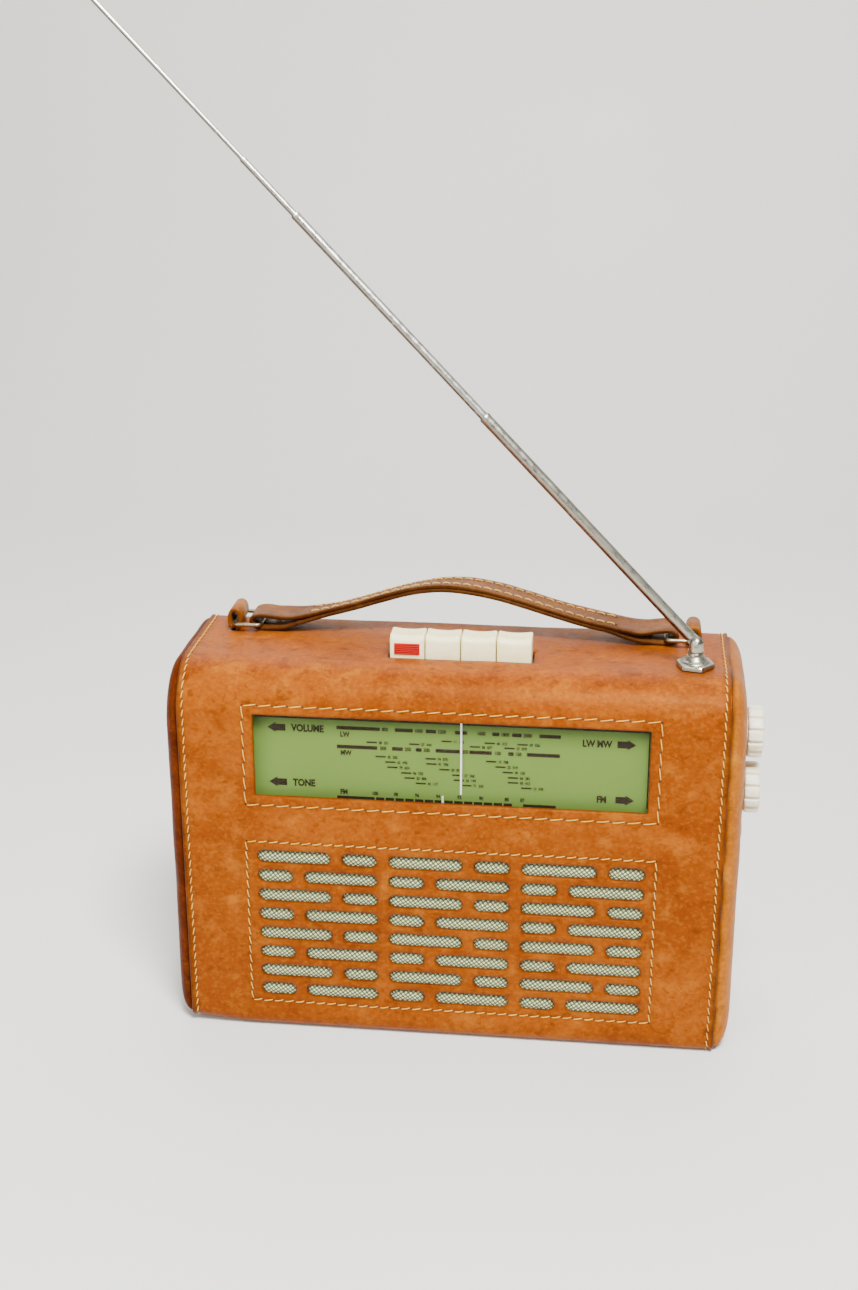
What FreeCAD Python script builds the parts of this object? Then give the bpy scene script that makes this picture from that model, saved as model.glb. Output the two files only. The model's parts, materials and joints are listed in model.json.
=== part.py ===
import FreeCAD, Part
import math
import os
import re

import Sketcher

# A leather-cased portable transistor radio. Millimetres, +Z up, front towards -Y,
# origin at the middle of the case's underside.

Vector = FreeCAD.Vector
doc = FreeCAD.newDocument("leather_portable_radio")
sheet = doc.addObject("Spreadsheet::Sheet", "Dims")

DIMENSIONS = {
    # leather case
    "case_width": 276.0, "case_depth": 90.0, "case_height": 203.0, "leather": 2.5,
    "front_radius": 24.0, "back_radius": 9.0, "base_radius": 6.0,
    "dome_height": 8.6, "side_shoulder": 15.0, "top_shoulder": 24.0,
    "liner_gap": 0.5, "shell_wall": 2.0,
    # dial opening and what lies behind it
    "dial_half": 99.25, "dial_low": 135.0, "dial_high": 179.5,
    "window_half": 103.4, "window_low": 131.2, "window_high": 183.2,
    "window_front": -41.9, "window_thick": 1.5,
    "scale_half": 112.0, "scale_low": 128.6, "scale_high": 181.4,
    "scale_front": -38.0, "scale_thick": 1.0, "needle_front": -39.1, "needle_thick": 0.6,
    "rail_radius": 1.0, "rail_depth": -31.0, "am_rail_height": 184.0, "fm_rail_height": 124.5,
    "am_needle": 5.5, "fm_needle": -3.8,
    # speaker grille
    "slot_tall": 7.3, "slot_top": 100.75, "slot_pitch": 11.12, "slot_long": 38.0,
    "slot_short": 18.2, "slot_gap": 5.9, "group_pitch": 68.2, "group_left": -99.25,
    "speaker_across": -35.0, "speaker_up": 62.0, "speaker_radius": 50.0, "cone_radius": 43.0,
    "basket_radius": 46.0, "basket_back": -14.0, "back_plate": 22.0, "basket_sheet": 1.6,
    "voice_radius": 9.0, "magnet_radius": 20.0, "magnet_back": 2.0,
    "cloth_half": 108.0, "cloth_low": 13.0, "cloth_high": 113.0,
    # chassis
    "cheek_inner": 117.0, "cheek_outer": 118.5, "cheek_back": 4.0, "sheet_steel": 1.0,
    "cheek_low": 118.0, "cheek_high": 186.0, "ear_tall": 10.0, "bush_radius": 4.5, "bush_end": 126.0,
    "bush_nut_radius": 7.0, "bush_nut_thick": 2.2, "pot_radius": 10.0, "pot_end": 104.0,
    "board_thick": 1.6, "board_low": 84.0, "board_high": 178.0,
    "ferrite_radius": 4.5, "coil_radius": 6.5, "ferrite_depth": 24.0, "ferrite_up": 188.0,
    # knobs and their shafts
    "tuning_depth": -15.0, "control_depth": 16.0, "upper_knob": 170.0, "lower_knob": 139.5,
    "knob_radius": 13.0, "knob_near": 147.4, "knob_far": 155.1, "shaft_radius": 3.0, "running_gap": 0.05,
    "flute_count": 13.0, "flute_radius": 2.0,
    # tuning capacitor and cord drums
    "gang_across": 72.0, "gang_up": 84.0, "am_drum_radius": 33.0, "plate_radius": 20.0,
    "fm_across": 85.0, "fm_up": 29.0, "fm_drum_radius": 18.0, "drum_front": -35.0,
    # piano keys
    "key_centre": 2.6, "key_pitch": 18.1, "key_width": 17.5, "key_front": -16.0,
    "key_back": -2.0, "key_low": 196.0, "key_high": 214.5, "key_dish": 0.8,
    "marker_half": 6.5, "marker_low": 204.2, "slider_low": 150.0, "slider_front": -10.0,
    # telescopic antenna, lengths counted from the knuckle pin
    "mast_across": 120.0, "mast_depth": -14.0, "pin_height": 215.4, "mast_tilt": 43.7,
    "tube_one": 2.85, "tube_two": 2.2, "tube_three": 1.6, "rod_four": 1.15,
    "end_one": 154.5, "end_two": 284.5, "end_three": 319.1, "end_four": 439.1,
    "tip_length": 7.0, "nut_flats": 18.0, "nut_tall": 3.0, "spindle_radius": 2.5, "pin_radius": 1.2,
    "ear_radius": 3.4, "ear_inner": 1.8, "tongue_half": 1.6, "mast_hole": 4.5,
    # handle
    "strap_low": 13.0, "strap_high": 33.0, "strap_thick": 4.4, "strap_top": 229.0,
    "strap_centre": -4.0, "arch_radius": 190.0, "arch_angle": 25.0, "curl_radius": 38.0,
    "ring_height": 207.0, "ring_outer": 120.0, "ring_inner": 106.0, "ring_wire": 1.1,
    # rear flap
    "flap_half": 118.0, "flap_low": 16.0, "flap_high": 186.0, "flap_gap": 0.3,
    "hatch_half": 110.0, "hatch_low": 24.0, "hatch_high": 176.0,
    "stud_across": 80.0, "stud_up": 24.0, "hinge_gap": 0.4,
    # batteries
    "cell_radius": 16.2, "cell_length": 60.3, "bay_half": 99.0, "bay_front": 5.0, "bay_back": 38.0,
    # earphone socket
    "jack_depth": -10.0, "jack_up": 113.0, "jack_radius": 1.8, "jack_length": 9.8,
    "jack_barrel": 3.4, "jack_chamber": 2.6, "jack_nut_radius": 5.5, "jack_nut_thick": 1.5,
}

for row, (alias, size) in enumerate(DIMENSIONS.items(), start=1):
    sheet.set(f"A{row}", alias.replace("_", " "))
    sheet.set(f"B{row}", str(size))
    sheet.setAlias(f"B{row}", alias)
doc.recompute()

# Places that several parts share, as formulas of the sheet's aliases.
END = "(case_width / 2)"
FRONT = "(-case_depth / 2)"
BACK = "(case_depth / 2)"
LINED = "(leather + liner_gap)"
WALLED = "(leather + liner_gap + shell_wall)"
SHELL_END = "(case_width / 2 - 1)"
ROOM_END = "(case_width / 2 - 3)"
PANEL_FACE = "(case_width / 2 + dome_height)"
SCALE_BACK = "(scale_front + scale_thick)"
WEB_BACK = "(scale_front + scale_thick + sheet_steel)"
BOARD_BACK = "(cheek_back + board_thick)"
FLAP_FACE = "(case_depth / 2 + flap_gap + leather)"
NEEDLE_BACK = "(needle_front + needle_thick)"

# The tuning knobs are on the right end; volume and tone are on the left end, further back.
KNOB_DEPTH = {-1: "control_depth", 1: "tuning_depth"}

SUBPARTS = []


def sized(formula):
    """The formula with each alias pointed at the sheet."""
    return re.sub(r"[a-z][a-z_]*", lambda word: ("Dims." if word.group() in DIMENSIONS else "")
                  + word.group(), str(formula))


def value(formula):
    """The formula's present value, for starting geometry and for plain Part features."""
    return float(sheet.evalExpression(sized(formula)))


def bind(item, **formulas):
    for name, formula in formulas.items():
        item.setExpression(name, sized(formula))
    return item


def place(item, x=0, y=0, z=0, turn=None):
    if turn:
        item.Placement = FreeCAD.Placement(Vector(), FreeCAD.Rotation(Vector(*turn[:3]), turn[3]))
    for axis, formula in (("x", x), ("y", y), ("z", z)):
        item.setExpression("Placement.Base." + axis, sized(formula))
    return item


# ---------------------------------------------------------------- primitives and booleans

TURNS = {"X": (0, 1, 0, 90), "Y": (1, 0, 0, -90), "Z": None}


def spot(axis, low, first, second):
    return {"X": (low, first, second), "Y": (first, low, second), "Z": (first, second, low)}[axis]


def box(x0, x1, y0, y1, z0, z1):
    item = doc.addObject("Part::Box", "block")
    bind(item, Length=f"({x1}) - ({x0})", Width=f"({y1}) - ({y0})", Height=f"({z1}) - ({z0})")
    return place(item, x0, y0, z0)


def rod(axis, radius, low, high, first, second):
    """A round rod along one axis, at its two other coordinates in X, Y, Z order."""
    item = doc.addObject("Part::Cylinder", "rod")
    bind(item, Radius=radius, Height=f"({high}) - ({low})")
    return place(item, *spot(axis, low, first, second), turn=TURNS[axis])


def taper(axis, radius_low, radius_high, low, high, first, second):
    item = doc.addObject("Part::Cone", "taper")
    bind(item, Radius1=radius_low, Radius2=radius_high, Height=f"({high}) - ({low})")
    return place(item, *spot(axis, low, first, second), turn=TURNS[axis])


def ball(radius, x, y, z):
    return place(bind(doc.addObject("Part::Sphere", "ball"), Radius=radius), x, y, z)


def join(*items):
    item = doc.addObject("Part::MultiFuse", "joined")
    item.Shapes = list(items)
    return item


def group(*items):
    """Separate solids of one node."""
    item = doc.addObject("Part::Compound", "set")
    item.Links = list(items)
    return item


def cut(base, *tools):
    item = doc.addObject("Part::Cut", "cut")
    item.Base = base
    item.Tool = tools[0] if len(tools) == 1 else join(*tools)
    return item


def common(first, second):
    item = doc.addObject("Part::Common", "common")
    item.Base = first
    item.Tool = second
    return item


def tube(axis, outer, inner, low, high, first, second):
    return cut(rod(axis, outer, low, high, first, second), rod(axis, inner, low, high, first, second))


def subpart(name, item):
    item.Label = name
    SUBPARTS.append(item)
    return item


# ---------------------------------------------------------------- sketches and features

def new_body():
    return doc.addObject("PartDesign::Body", "Body")


def origin_item(body, role):
    return next(item for item in body.Origin.OriginFeatures if item.Role == role)


def new_sketch(body, role, offset="0"):
    sketch = body.newObject("Sketcher::SketchObject", "Sketch")
    sketch.AttachmentSupport = [(origin_item(body, role), "")]
    sketch.MapMode = "FlatFace"
    sketch.setExpression("AttachmentOffset.Base.z", sized(offset))
    return sketch


def dimension(sketch, kind, name, formula, *where):
    """A named driving dimension, bound to the sheet."""
    index = sketch.addConstraint(Sketcher.Constraint(kind, *where, value(formula)))
    sketch.renameConstraint(index, name)
    sketch.setExpression("Constraints." + name, sized(formula))


def chain(sketch, pieces, kind):
    """Adds the pieces and joins each one's end to the next one's start."""
    first = sketch.GeometryCount
    for piece in pieces:
        sketch.addGeometry(piece)
    for index in range(len(pieces)):
        after = first + (index + 1) % len(pieces)
        sketch.addConstraint(Sketcher.Constraint(kind, first + index, 2, after, 1))
    return first


def rectangle(sketch, left, right, low, high, tag=""):
    x0, x1, y0, y1 = (value(side) for side in (left, right, low, high))
    corners = [Vector(x0, y0), Vector(x1, y0), Vector(x1, y1), Vector(x0, y1)]
    sides = [Part.LineSegment(corners[i], corners[(i + 1) % 4]) for i in range(4)]
    first = chain(sketch, sides, "Coincident")
    for side, kind in enumerate(("Horizontal", "Vertical", "Horizontal", "Vertical")):
        sketch.addConstraint(Sketcher.Constraint(kind, first + side))
    edges = (("DistanceY", "low", low, 0), ("DistanceX", "right", right, 1),
             ("DistanceY", "high", high, 2), ("DistanceX", "left", left, 3))
    for kind, name, formula, side in edges:
        dimension(sketch, kind, name + tag, formula, -1, 1, first + side, 1)


def rounded_outline(sketch, left, right, low, high, radii):
    """A rectangle with a radius of its own at each corner, counted from the lower left."""
    x0, x1, y0, y1 = (value(side) for side in (left, right, low, high))
    sizes = [value(radius) for radius in radii]
    centres = [Vector(x0 + sizes[0], y0 + sizes[0]), Vector(x1 - sizes[1], y0 + sizes[1]),
               Vector(x1 - sizes[2], y1 - sizes[2]), Vector(x0 + sizes[3], y1 - sizes[3])]
    arcs = []
    for corner, (centre, radius) in enumerate(zip(centres, sizes)):
        circle_edge = Part.Circle(centre, Vector(0, 0, 1), radius)
        start = math.pi + corner * math.pi / 2
        arcs.append(Part.ArcOfCircle(circle_edge, start, start + math.pi / 2))
    pieces = []
    for corner in range(4):
        after = (corner + 1) % 4
        pieces.append(arcs[corner])
        pieces.append(Part.LineSegment(arcs[corner].EndPoint, arcs[after].StartPoint))
    first = chain(sketch, pieces, "Tangent")
    sides = (("Horizontal", "DistanceY", "low", low), ("Vertical", "DistanceX", "right", right),
             ("Horizontal", "DistanceY", "high", high), ("Vertical", "DistanceX", "left", left))
    for side, (line, kind, name, formula) in enumerate(sides):
        sketch.addConstraint(Sketcher.Constraint(line, first + 2 * side + 1))
        dimension(sketch, kind, name, formula, -1, 1, first + 2 * side + 1, 1)
    for corner, radius in enumerate(radii):
        dimension(sketch, "Radius", f"radius{corner}", radius, first + 2 * corner)


def round_ended_slot(sketch, left, right, middle, tall):
    x0, x1, z, half = value(left), value(right), value(middle), value(tall) / 2
    ends = [Part.Circle(Vector(x, z), Vector(0, 0, 1), half) for x in (x1 - half, x0 + half)]
    arcs = [Part.ArcOfCircle(end, start, start + math.pi)
            for end, start in zip(ends, (-math.pi / 2, math.pi / 2))]
    pieces = [Part.LineSegment(arcs[1].EndPoint, arcs[0].StartPoint), arcs[0],
              Part.LineSegment(arcs[0].EndPoint, arcs[1].StartPoint), arcs[1]]
    first = chain(sketch, pieces, "Tangent")
    sketch.addConstraint(Sketcher.Constraint("Horizontal", first))
    dimension(sketch, "Radius", "round", f"({tall}) / 2", first + 1)
    dimension(sketch, "DistanceY", "middle", middle, -1, 1, first + 1, 3)
    dimension(sketch, "DistanceX", "right", f"({right}) - ({tall}) / 2", -1, 1, first + 1, 3)
    dimension(sketch, "DistanceX", "left", f"({left}) + ({tall}) / 2", -1, 1, first + 3, 3)


def disc(sketch, x, y, radius, tag=""):
    index = sketch.addGeometry(Part.Circle(Vector(value(x), value(y)), Vector(0, 0, 1), value(radius)))
    dimension(sketch, "Radius", "radius" + tag, radius, index)
    dimension(sketch, "DistanceX", "across" + tag, x, -1, 1, index, 3)
    dimension(sketch, "DistanceY", "up" + tag, y, -1, 1, index, 3)


def pad(body, sketch, length, both_ways=False):
    feature = body.newObject("PartDesign::Pad", "Pad")
    feature.Profile = sketch
    feature.Midplane = both_ways
    bind(feature, Length=length)
    return feature


def pocket(body, sketch, length, both_ways=False):
    feature = body.newObject("PartDesign::Pocket", "Pocket")
    feature.Profile = sketch
    feature.Midplane = both_ways
    bind(feature, Length=length)
    return feature


# ---------------------------------------------------------------- the leather case

def case_outline(sketch, inset, ends="0", tops="0"):
    """The case's section in Y and Z, drawn in by an inset all round and more at front and top."""
    rounded_outline(sketch, f"{FRONT} + {inset} + {ends}", f"{BACK} - {inset} - {ends}",
                    f"{inset} + {tops}", f"case_height - {inset} - {tops}",
                    [f"base_radius - {inset}", f"base_radius - {inset}",
                     f"back_radius - {inset}", f"front_radius - {inset}"])


def grille_slots(body):
    """Rows of slots in three groups; each row swaps the long and the short slot of the one above."""
    short_right = "group_left + slot_long + slot_gap + slot_short"
    shapes = (("group_left", "group_left + slot_long", 0),
              ("group_left + slot_long + slot_gap", short_right, 0),
              ("group_left", "group_left + slot_short", 1),
              ("group_left + slot_short + slot_gap", short_right, 1))
    for left, right, row in shapes:
        sketch = new_sketch(body, "XZ_Plane", "case_depth / 2 + 2")
        round_ended_slot(sketch, left, right, f"slot_top - {row} * slot_pitch", "slot_tall")
        first = pocket(body, sketch, "leather + 4")
        pattern = body.newObject("PartDesign::LinearPattern", "Pattern")
        pattern.Originals = [first]
        pattern.Direction = (origin_item(body, "X_Axis"), [""])
        pattern.Occurrences = 3
        pattern.Direction2 = (origin_item(body, "Z_Axis"), [""])
        pattern.Reversed2 = True
        pattern.Occurrences2 = 4
        bind(pattern, Length="group_pitch * 2", Length2="slot_pitch * 6")
        body.Tip = pattern


def leather_wrap():
    body = new_body()
    outline = new_sketch(body, "YZ_Plane")
    case_outline(outline, "0")
    pad(body, outline, "case_width", both_ways=True)
    hollow = new_sketch(body, "YZ_Plane")
    case_outline(hollow, "leather")
    pocket(body, hollow, "case_width + 2", both_ways=True)
    dial = new_sketch(body, "XZ_Plane", "case_depth / 2 + 2")
    rectangle(dial, "-dial_half", "dial_half", "dial_low", "dial_high")
    pocket(body, dial, "leather + 4")
    hatch = new_sketch(body, "XZ_Plane", "2 * leather - case_depth / 2")
    rectangle(hatch, "-hatch_half", "hatch_half", "hatch_low", "hatch_high")
    pocket(body, hatch, "leather * 3")
    crown = new_sketch(body, "XY_Plane", "case_height + 2")
    rectangle(crown, "key_centre - key_pitch * 2 - 0.9", "key_centre + key_pitch * 2 + 0.9",
              "key_front - 0.9", "key_back + 0.9", "Keys")
    disc(crown, "mast_across", "mast_depth", "mast_hole", "Mast")
    for side in (-1, 1):
        tag = "Left" if side < 0 else "Right"
        rectangle(crown, f"{side} * ring_outer - 1.8", f"{side} * ring_outer + 1.8",
                  "strap_low + 1", "strap_high - 1", tag)
    pocket(body, crown, "leather + 4")
    grille_slots(body)
    return body


def end_panel(side, jack):
    """A moulded dome whose edges fall away along an ellipse, hollow, with holes for two shafts."""
    body = new_body()
    for inset, feature_type in (("0", "PartDesign::AdditiveLoft"), ("leather", "PartDesign::SubtractiveLoft")):
        sections = []
        for angle in (0, 30, 50, 70, 90):
            height = f"(dome_height - {inset}) * sin({angle})"
            sketch = new_sketch(body, "YZ_Plane", f"{side} * ({END} + {height})")
            drawn_in = f"(1 - cos({angle}))"
            case_outline(sketch, inset, f"side_shoulder * {drawn_in}", f"top_shoulder * {drawn_in}")
            sections.append(sketch)
        loft = body.newObject(feature_type, "Loft")
        loft.Profile = sections[0]
        loft.Sections = sections[1:]
        loft.Ruled = True
    holes = new_sketch(body, "YZ_Plane")
    disc(holes, KNOB_DEPTH[side], "upper_knob", "shaft_radius + 1", "Upper")
    disc(holes, KNOB_DEPTH[side], "lower_knob", "shaft_radius + 1", "Lower")
    if jack:
        disc(holes, "jack_depth", "jack_up", "jack_barrel", "Jack")
    pocket(body, holes, "case_width * 2", both_ways=True)
    return body


def inner_shell():
    body = new_body()
    outline = new_sketch(body, "YZ_Plane")
    case_outline(outline, LINED)
    pad(body, outline, f"{SHELL_END} * 2", both_ways=True)
    hollow = new_sketch(body, "YZ_Plane")
    case_outline(hollow, WALLED)
    pocket(body, hollow, f"{ROOM_END} * 2", both_ways=True)
    front = new_sketch(body, "XZ_Plane", "case_depth / 2 + 2")
    rectangle(front, "-window_half", "window_half", "window_low", "window_high")
    disc(front, "speaker_across", "speaker_up", "cone_radius", "Speaker")
    pocket(body, front, f"{WALLED} + 4")
    hatch = new_sketch(body, "XZ_Plane", f"{WALLED} * 2 - case_depth / 2")
    rectangle(hatch, "-hatch_half", "hatch_half", "hatch_low", "hatch_high")
    pocket(body, hatch, f"{WALLED} * 3")
    crown = new_sketch(body, "XY_Plane", "case_height + 2")
    rectangle(crown, "key_centre - key_pitch * 2 - 2", "key_centre + key_pitch * 2 + 2",
              "key_front - 2", "key_back + 2")
    disc(crown, "mast_across", "mast_depth", "mast_hole", "Mast")
    pocket(body, crown, f"{WALLED} + 4")
    for side in (-1, 1):
        end = new_sketch(body, "YZ_Plane", f"{side} * {END} + 4")
        disc(end, KNOB_DEPTH[side], "upper_knob", "shaft_radius + 2", "Upper")
        disc(end, KNOB_DEPTH[side], "lower_knob", "shaft_radius + 2", "Lower")
        if side > 0:
            disc(end, "jack_depth", "jack_up", "jack_barrel", "Jack")
        pocket(body, end, "8")
    return body


def grille_cloth():
    cloth_front = f"{FRONT} + leather"
    return box("-cloth_half", "cloth_half", cloth_front, f"{cloth_front} + liner_gap",
               "cloth_low", "cloth_high")


subpart("leather_wrap", leather_wrap())
subpart("left_end_panel", end_panel(-1, jack=False))
subpart("right_end_panel", end_panel(1, jack=True))
subpart("inner_shell", inner_shell())
subpart("grille_cloth", grille_cloth())

# ---------------------------------------------------------------- dial, pointers and chassis

subpart("dial_window", box("-window_half", "window_half", "window_front", "window_front + window_thick",
                           "window_low", "window_high"))
subpart("dial_scale", box("-scale_half", "scale_half", "scale_front", SCALE_BACK,
                          "scale_low", "scale_high"))


def chassis():
    """A folded steel chassis: a web behind the scale, a cheek at each end and ears to the shell."""
    pieces = [box("-cheek_inner", "cheek_inner", SCALE_BACK, WEB_BACK, "scale_low", "scale_high")]
    for side in (-1, 1):
        faces = sorted((f"{side} * cheek_inner", f"{side} * cheek_outer"), key=value)
        cheek_end = "control_depth + pot_radius + 3" if side < 0 else "cheek_back"
        pieces.append(box(*faces, SCALE_BACK, cheek_end, "cheek_low", "cheek_high"))
        for low in ("cheek_low + 2", "cheek_high - ear_tall"):
            ear = sorted((f"{side} * cheek_inner", f"{side} * {ROOM_END}"), key=value)
            pieces.append(box(*ear, "cheek_back - 1.5", "cheek_back", low, f"{low} + ear_tall"))
    holes = [rod("X", "bush_radius", f"{side} * cheek_outer - 2", f"{side} * cheek_outer + 2",
                 KNOB_DEPTH[side], height) for side in (-1, 1) for height in ("upper_knob", "lower_knob")]
    return cut(join(*pieces), *holes)


def pointer(across, needle_low, needle_high, arm_low, carriage_low, carriage_high, rail_height):
    """A needle on an arm from a carriage that slides on its rail."""
    needle = box(f"{across} - 0.45", f"{across} + 0.45", "needle_front", NEEDLE_BACK,
                 needle_low, needle_high)
    arm = box(f"{across} - 0.45", f"{across} + 0.45", "needle_front", "rail_depth - 2.5",
              arm_low, f"{arm_low} + 1")
    carriage = box(f"{across} - 5", f"{across} + 5", "rail_depth - 3", "rail_depth + 3",
                   carriage_low, carriage_high)
    bore = rod("X", "rail_radius + running_gap", f"{across} - 6", f"{across} + 6",
               "rail_depth", rail_height)
    return cut(join(needle, arm, carriage), bore)


subpart("chassis", chassis())
subpart("pointer_rails", group(*[rod("X", "rail_radius", "-cheek_inner", "cheek_inner", "rail_depth", height)
                                 for height in ("am_rail_height", "fm_rail_height")]))
subpart("am_pointer", pointer("am_needle", "dial_low + 3.5", "window_high", "window_high - 1",
                              "am_rail_height - 2.2", "am_rail_height + 3", "am_rail_height"))
subpart("fm_pointer", pointer("fm_needle", "scale_low - 1.6", "dial_low + 2", "scale_low - 1.6",
                              "fm_rail_height - 3", "fm_rail_height + 3.4", "fm_rail_height"))


# ---------------------------------------------------------------- loudspeaker

def speaker_frame():
    """A pressed basket: a flat rim, a cone wall with four windows and a back plate."""
    room_front = f"{FRONT} + {WALLED}"
    rim = tube("Y", "speaker_radius", "cone_radius", room_front, f"{room_front} + 2",
               "speaker_across", "speaker_up")
    outer = taper("Y", "basket_radius", "back_plate", f"{room_front} + 2", "basket_back",
                  "speaker_across", "speaker_up")
    inner = taper("Y", "basket_radius - basket_sheet", "back_plate - basket_sheet",
                  f"{room_front} + 2", "basket_back", "speaker_across", "speaker_up")
    open_front, open_back = f"{room_front} + 5", "basket_back - 6"
    windows = [box("speaker_across - speaker_radius", "speaker_across + speaker_radius",
                   open_front, open_back, "speaker_up - 8", "speaker_up + 8"),
               box("speaker_across - 8", "speaker_across + 8", open_front, open_back,
                   "speaker_up - speaker_radius", "speaker_up + speaker_radius")]
    plate = rod("Y", "back_plate", "basket_back", "basket_back + 2", "speaker_across", "speaker_up")
    return join(rim, cut(outer, inner, *windows), plate)


def speaker_cone():
    """A paper cone with its dust cap."""
    front = f"{FRONT} + {WALLED} + 0.6"
    back = "basket_back - 3"
    outer = taper("Y", "cone_radius", "voice_radius", front, back, "speaker_across", "speaker_up")
    inner = taper("Y", "cone_radius - 1", "voice_radius - 1", front, back, "speaker_across", "speaker_up")
    cap = rod("Y", "voice_radius", f"{back} - 1", "basket_back", "speaker_across", "speaker_up")
    return join(cut(outer, inner), cap)


subpart("speaker_frame", speaker_frame())
subpart("speaker_cone", speaker_cone())
subpart("speaker_magnet", rod("Y", "magnet_radius", "basket_back + 2", "magnet_back",
                              "speaker_across", "speaker_up"))


# ---------------------------------------------------------------- circuit board and its components

def circuit_board():
    return box("-cheek_inner", "cheek_inner", "cheek_back", BOARD_BACK, "board_low", "board_high")


def if_cans():
    return group(*[box(across, f"{across} + 10", BOARD_BACK, f"{BOARD_BACK} + 14", height, f"{height} + 10")
                   for height in (98, 150) for across in (-92, -58, -24, 10, 44)])


def transistors():
    return group(*[rod("Y", "3.8", BOARD_BACK, f"{BOARD_BACK} + 8", across, height)
                   for height in (92, 128) for across in (-76, -42, -8, 26)])


def passives():
    """Electrolytic capacitors and rows of resistors, lying on the board."""
    cans = [rod("X", "4", across, f"{across} + 22", f"{BOARD_BACK} + 4", height)
            for height in (116, 138) for across in (-100, 62, 88)]
    small = [rod("X", "1.3", across, f"{across} + 9", f"{BOARD_BACK} + 1.3", height)
             for height in (114, 120, 136, 142, 166) for across in range(-72, 45, 16)]
    return group(*cans, *small)


def ferrite_coils():
    return group(*[tube("X", "coil_radius", "ferrite_radius", low, high, "ferrite_depth", "ferrite_up")
                   for low, high in ((-80, -48), (28, 50))])


def rod_clips():
    """Two plastic clips that hang the ferrite rod from the top of the shell."""
    ceiling = f"case_height - {WALLED}"
    return group(*[cut(box(across, f"{across} + 6", "ferrite_depth - 6", "ferrite_depth + 6",
                           "ferrite_up - 5", ceiling),
                       rod("X", "ferrite_radius", "-96", "86", "ferrite_depth", "ferrite_up"))
                   for across in (-92, 74)])


subpart("circuit_board", circuit_board())
subpart("if_cans", if_cans())
subpart("transistors", transistors())
subpart("passives", passives())
subpart("ferrite_rod", rod("X", "ferrite_radius", "-95", "85", "ferrite_depth", "ferrite_up"))
subpart("ferrite_coils", ferrite_coils())
subpart("rod_clips", rod_clips())


# ---------------------------------------------------------------- tuning: gang, tuner and drums

PLATE_DEPTHS = (-25, -21, -17, -13, -9)


def half_disc(radius, depth, thick, up):
    """A half disc across Y at the gang's axis, above it where up is 1 and below it where up is -1."""
    whole = rod("Y", radius, depth, f"{depth} + {thick}", "gang_across", "gang_up")
    spans = sorted((f"gang_up + {up} * 30", f"gang_up - {up} * 1"), key=value)
    return common(whole, box("gang_across - 30", "gang_across + 30", "-40", "0", *spans))


def gang_frame():
    """Two end plates joined by a foot and a stator bar with its fixed half plates."""
    plates = [box("gang_across - 22", "gang_across + 22", low, f"{low} + 1.5", "gang_up - 26", "gang_up + 22")
              for low in ("-29", "-2")]
    foot = box("gang_across - 22", "gang_across + 22", "-29", "-0.5", "gang_up - 26", "gang_up - 24.5")
    stators = [cut(half_disc("plate_radius + 3", f"{depth} + 2", "1", -1),
                   rod("Y", "5", "-40", "0", "gang_across", "gang_up")) for depth in PLATE_DEPTHS]
    bar = box("gang_across - 5", "gang_across + 5", "-27.5", "-2", "gang_up - 24.5", "gang_up - 21.5")
    posts = [rod("Y", "3", "-0.5", "cheek_back", f"gang_across + {side} * 14", "gang_up + 15")
             for side in (-1, 1)]
    bearing = rod("Y", "shaft_radius + running_gap", "-30", "0", "gang_across", "gang_up")
    return cut(join(*plates, foot, bar, *stators, *posts), bearing)


def gang_rotor():
    """The tuning shaft and its half plates, which swing between the stator's."""
    shaft = rod("Y", "shaft_radius", "drum_front - 0.6", "-0.6", "gang_across", "gang_up")
    return join(shaft, *[half_disc("plate_radius", depth, "1", 1) for depth in PLATE_DEPTHS])


def cord_drum(across, height, radius, bore):
    """A flanged drum with a groove for the dial cord."""
    rims = [rod("Y", radius, low, f"{low} + 0.8", across, height)
            for low in ("drum_front", "drum_front + 3.2")]
    core = rod("Y", f"{radius} - 1.5", "drum_front + 0.8", "drum_front + 3.2", across, height)
    return cut(join(core, *rims), rod("Y", bore, "drum_front - 1", "drum_front + 5", across, height))


def fm_tuner():
    """A screened tuner box on four legs, with a blind bearing for the drum's shaft."""
    can = box("fm_across - 19", "fm_across + 19", "-28", "0", "fm_up - 15", "fm_up + 15")
    floor = WALLED
    legs = [box(f"fm_across + {x}", f"fm_across + {x} + 3", y, f"{y} + 3", floor, "fm_up - 15")
            for x in (-19, 16) for y in (-28, -3)]
    return cut(join(can, *legs), rod("Y", "2.5 + running_gap", "-29", "-12", "fm_across", "fm_up"))


subpart("gang_frame", gang_frame())
subpart("gang_rotor", gang_rotor())
subpart("am_drum", cord_drum("gang_across", "gang_up", "am_drum_radius", "shaft_radius"))
subpart("fm_tuner_can", fm_tuner())
subpart("fm_drum", join(cord_drum("fm_across", "fm_up", "fm_drum_radius", "1"),
                        rod("Y", "2.5", "drum_front", "-12.5", "fm_across", "fm_up")))


# ---------------------------------------------------------------- knobs, their shafts and bearings

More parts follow.
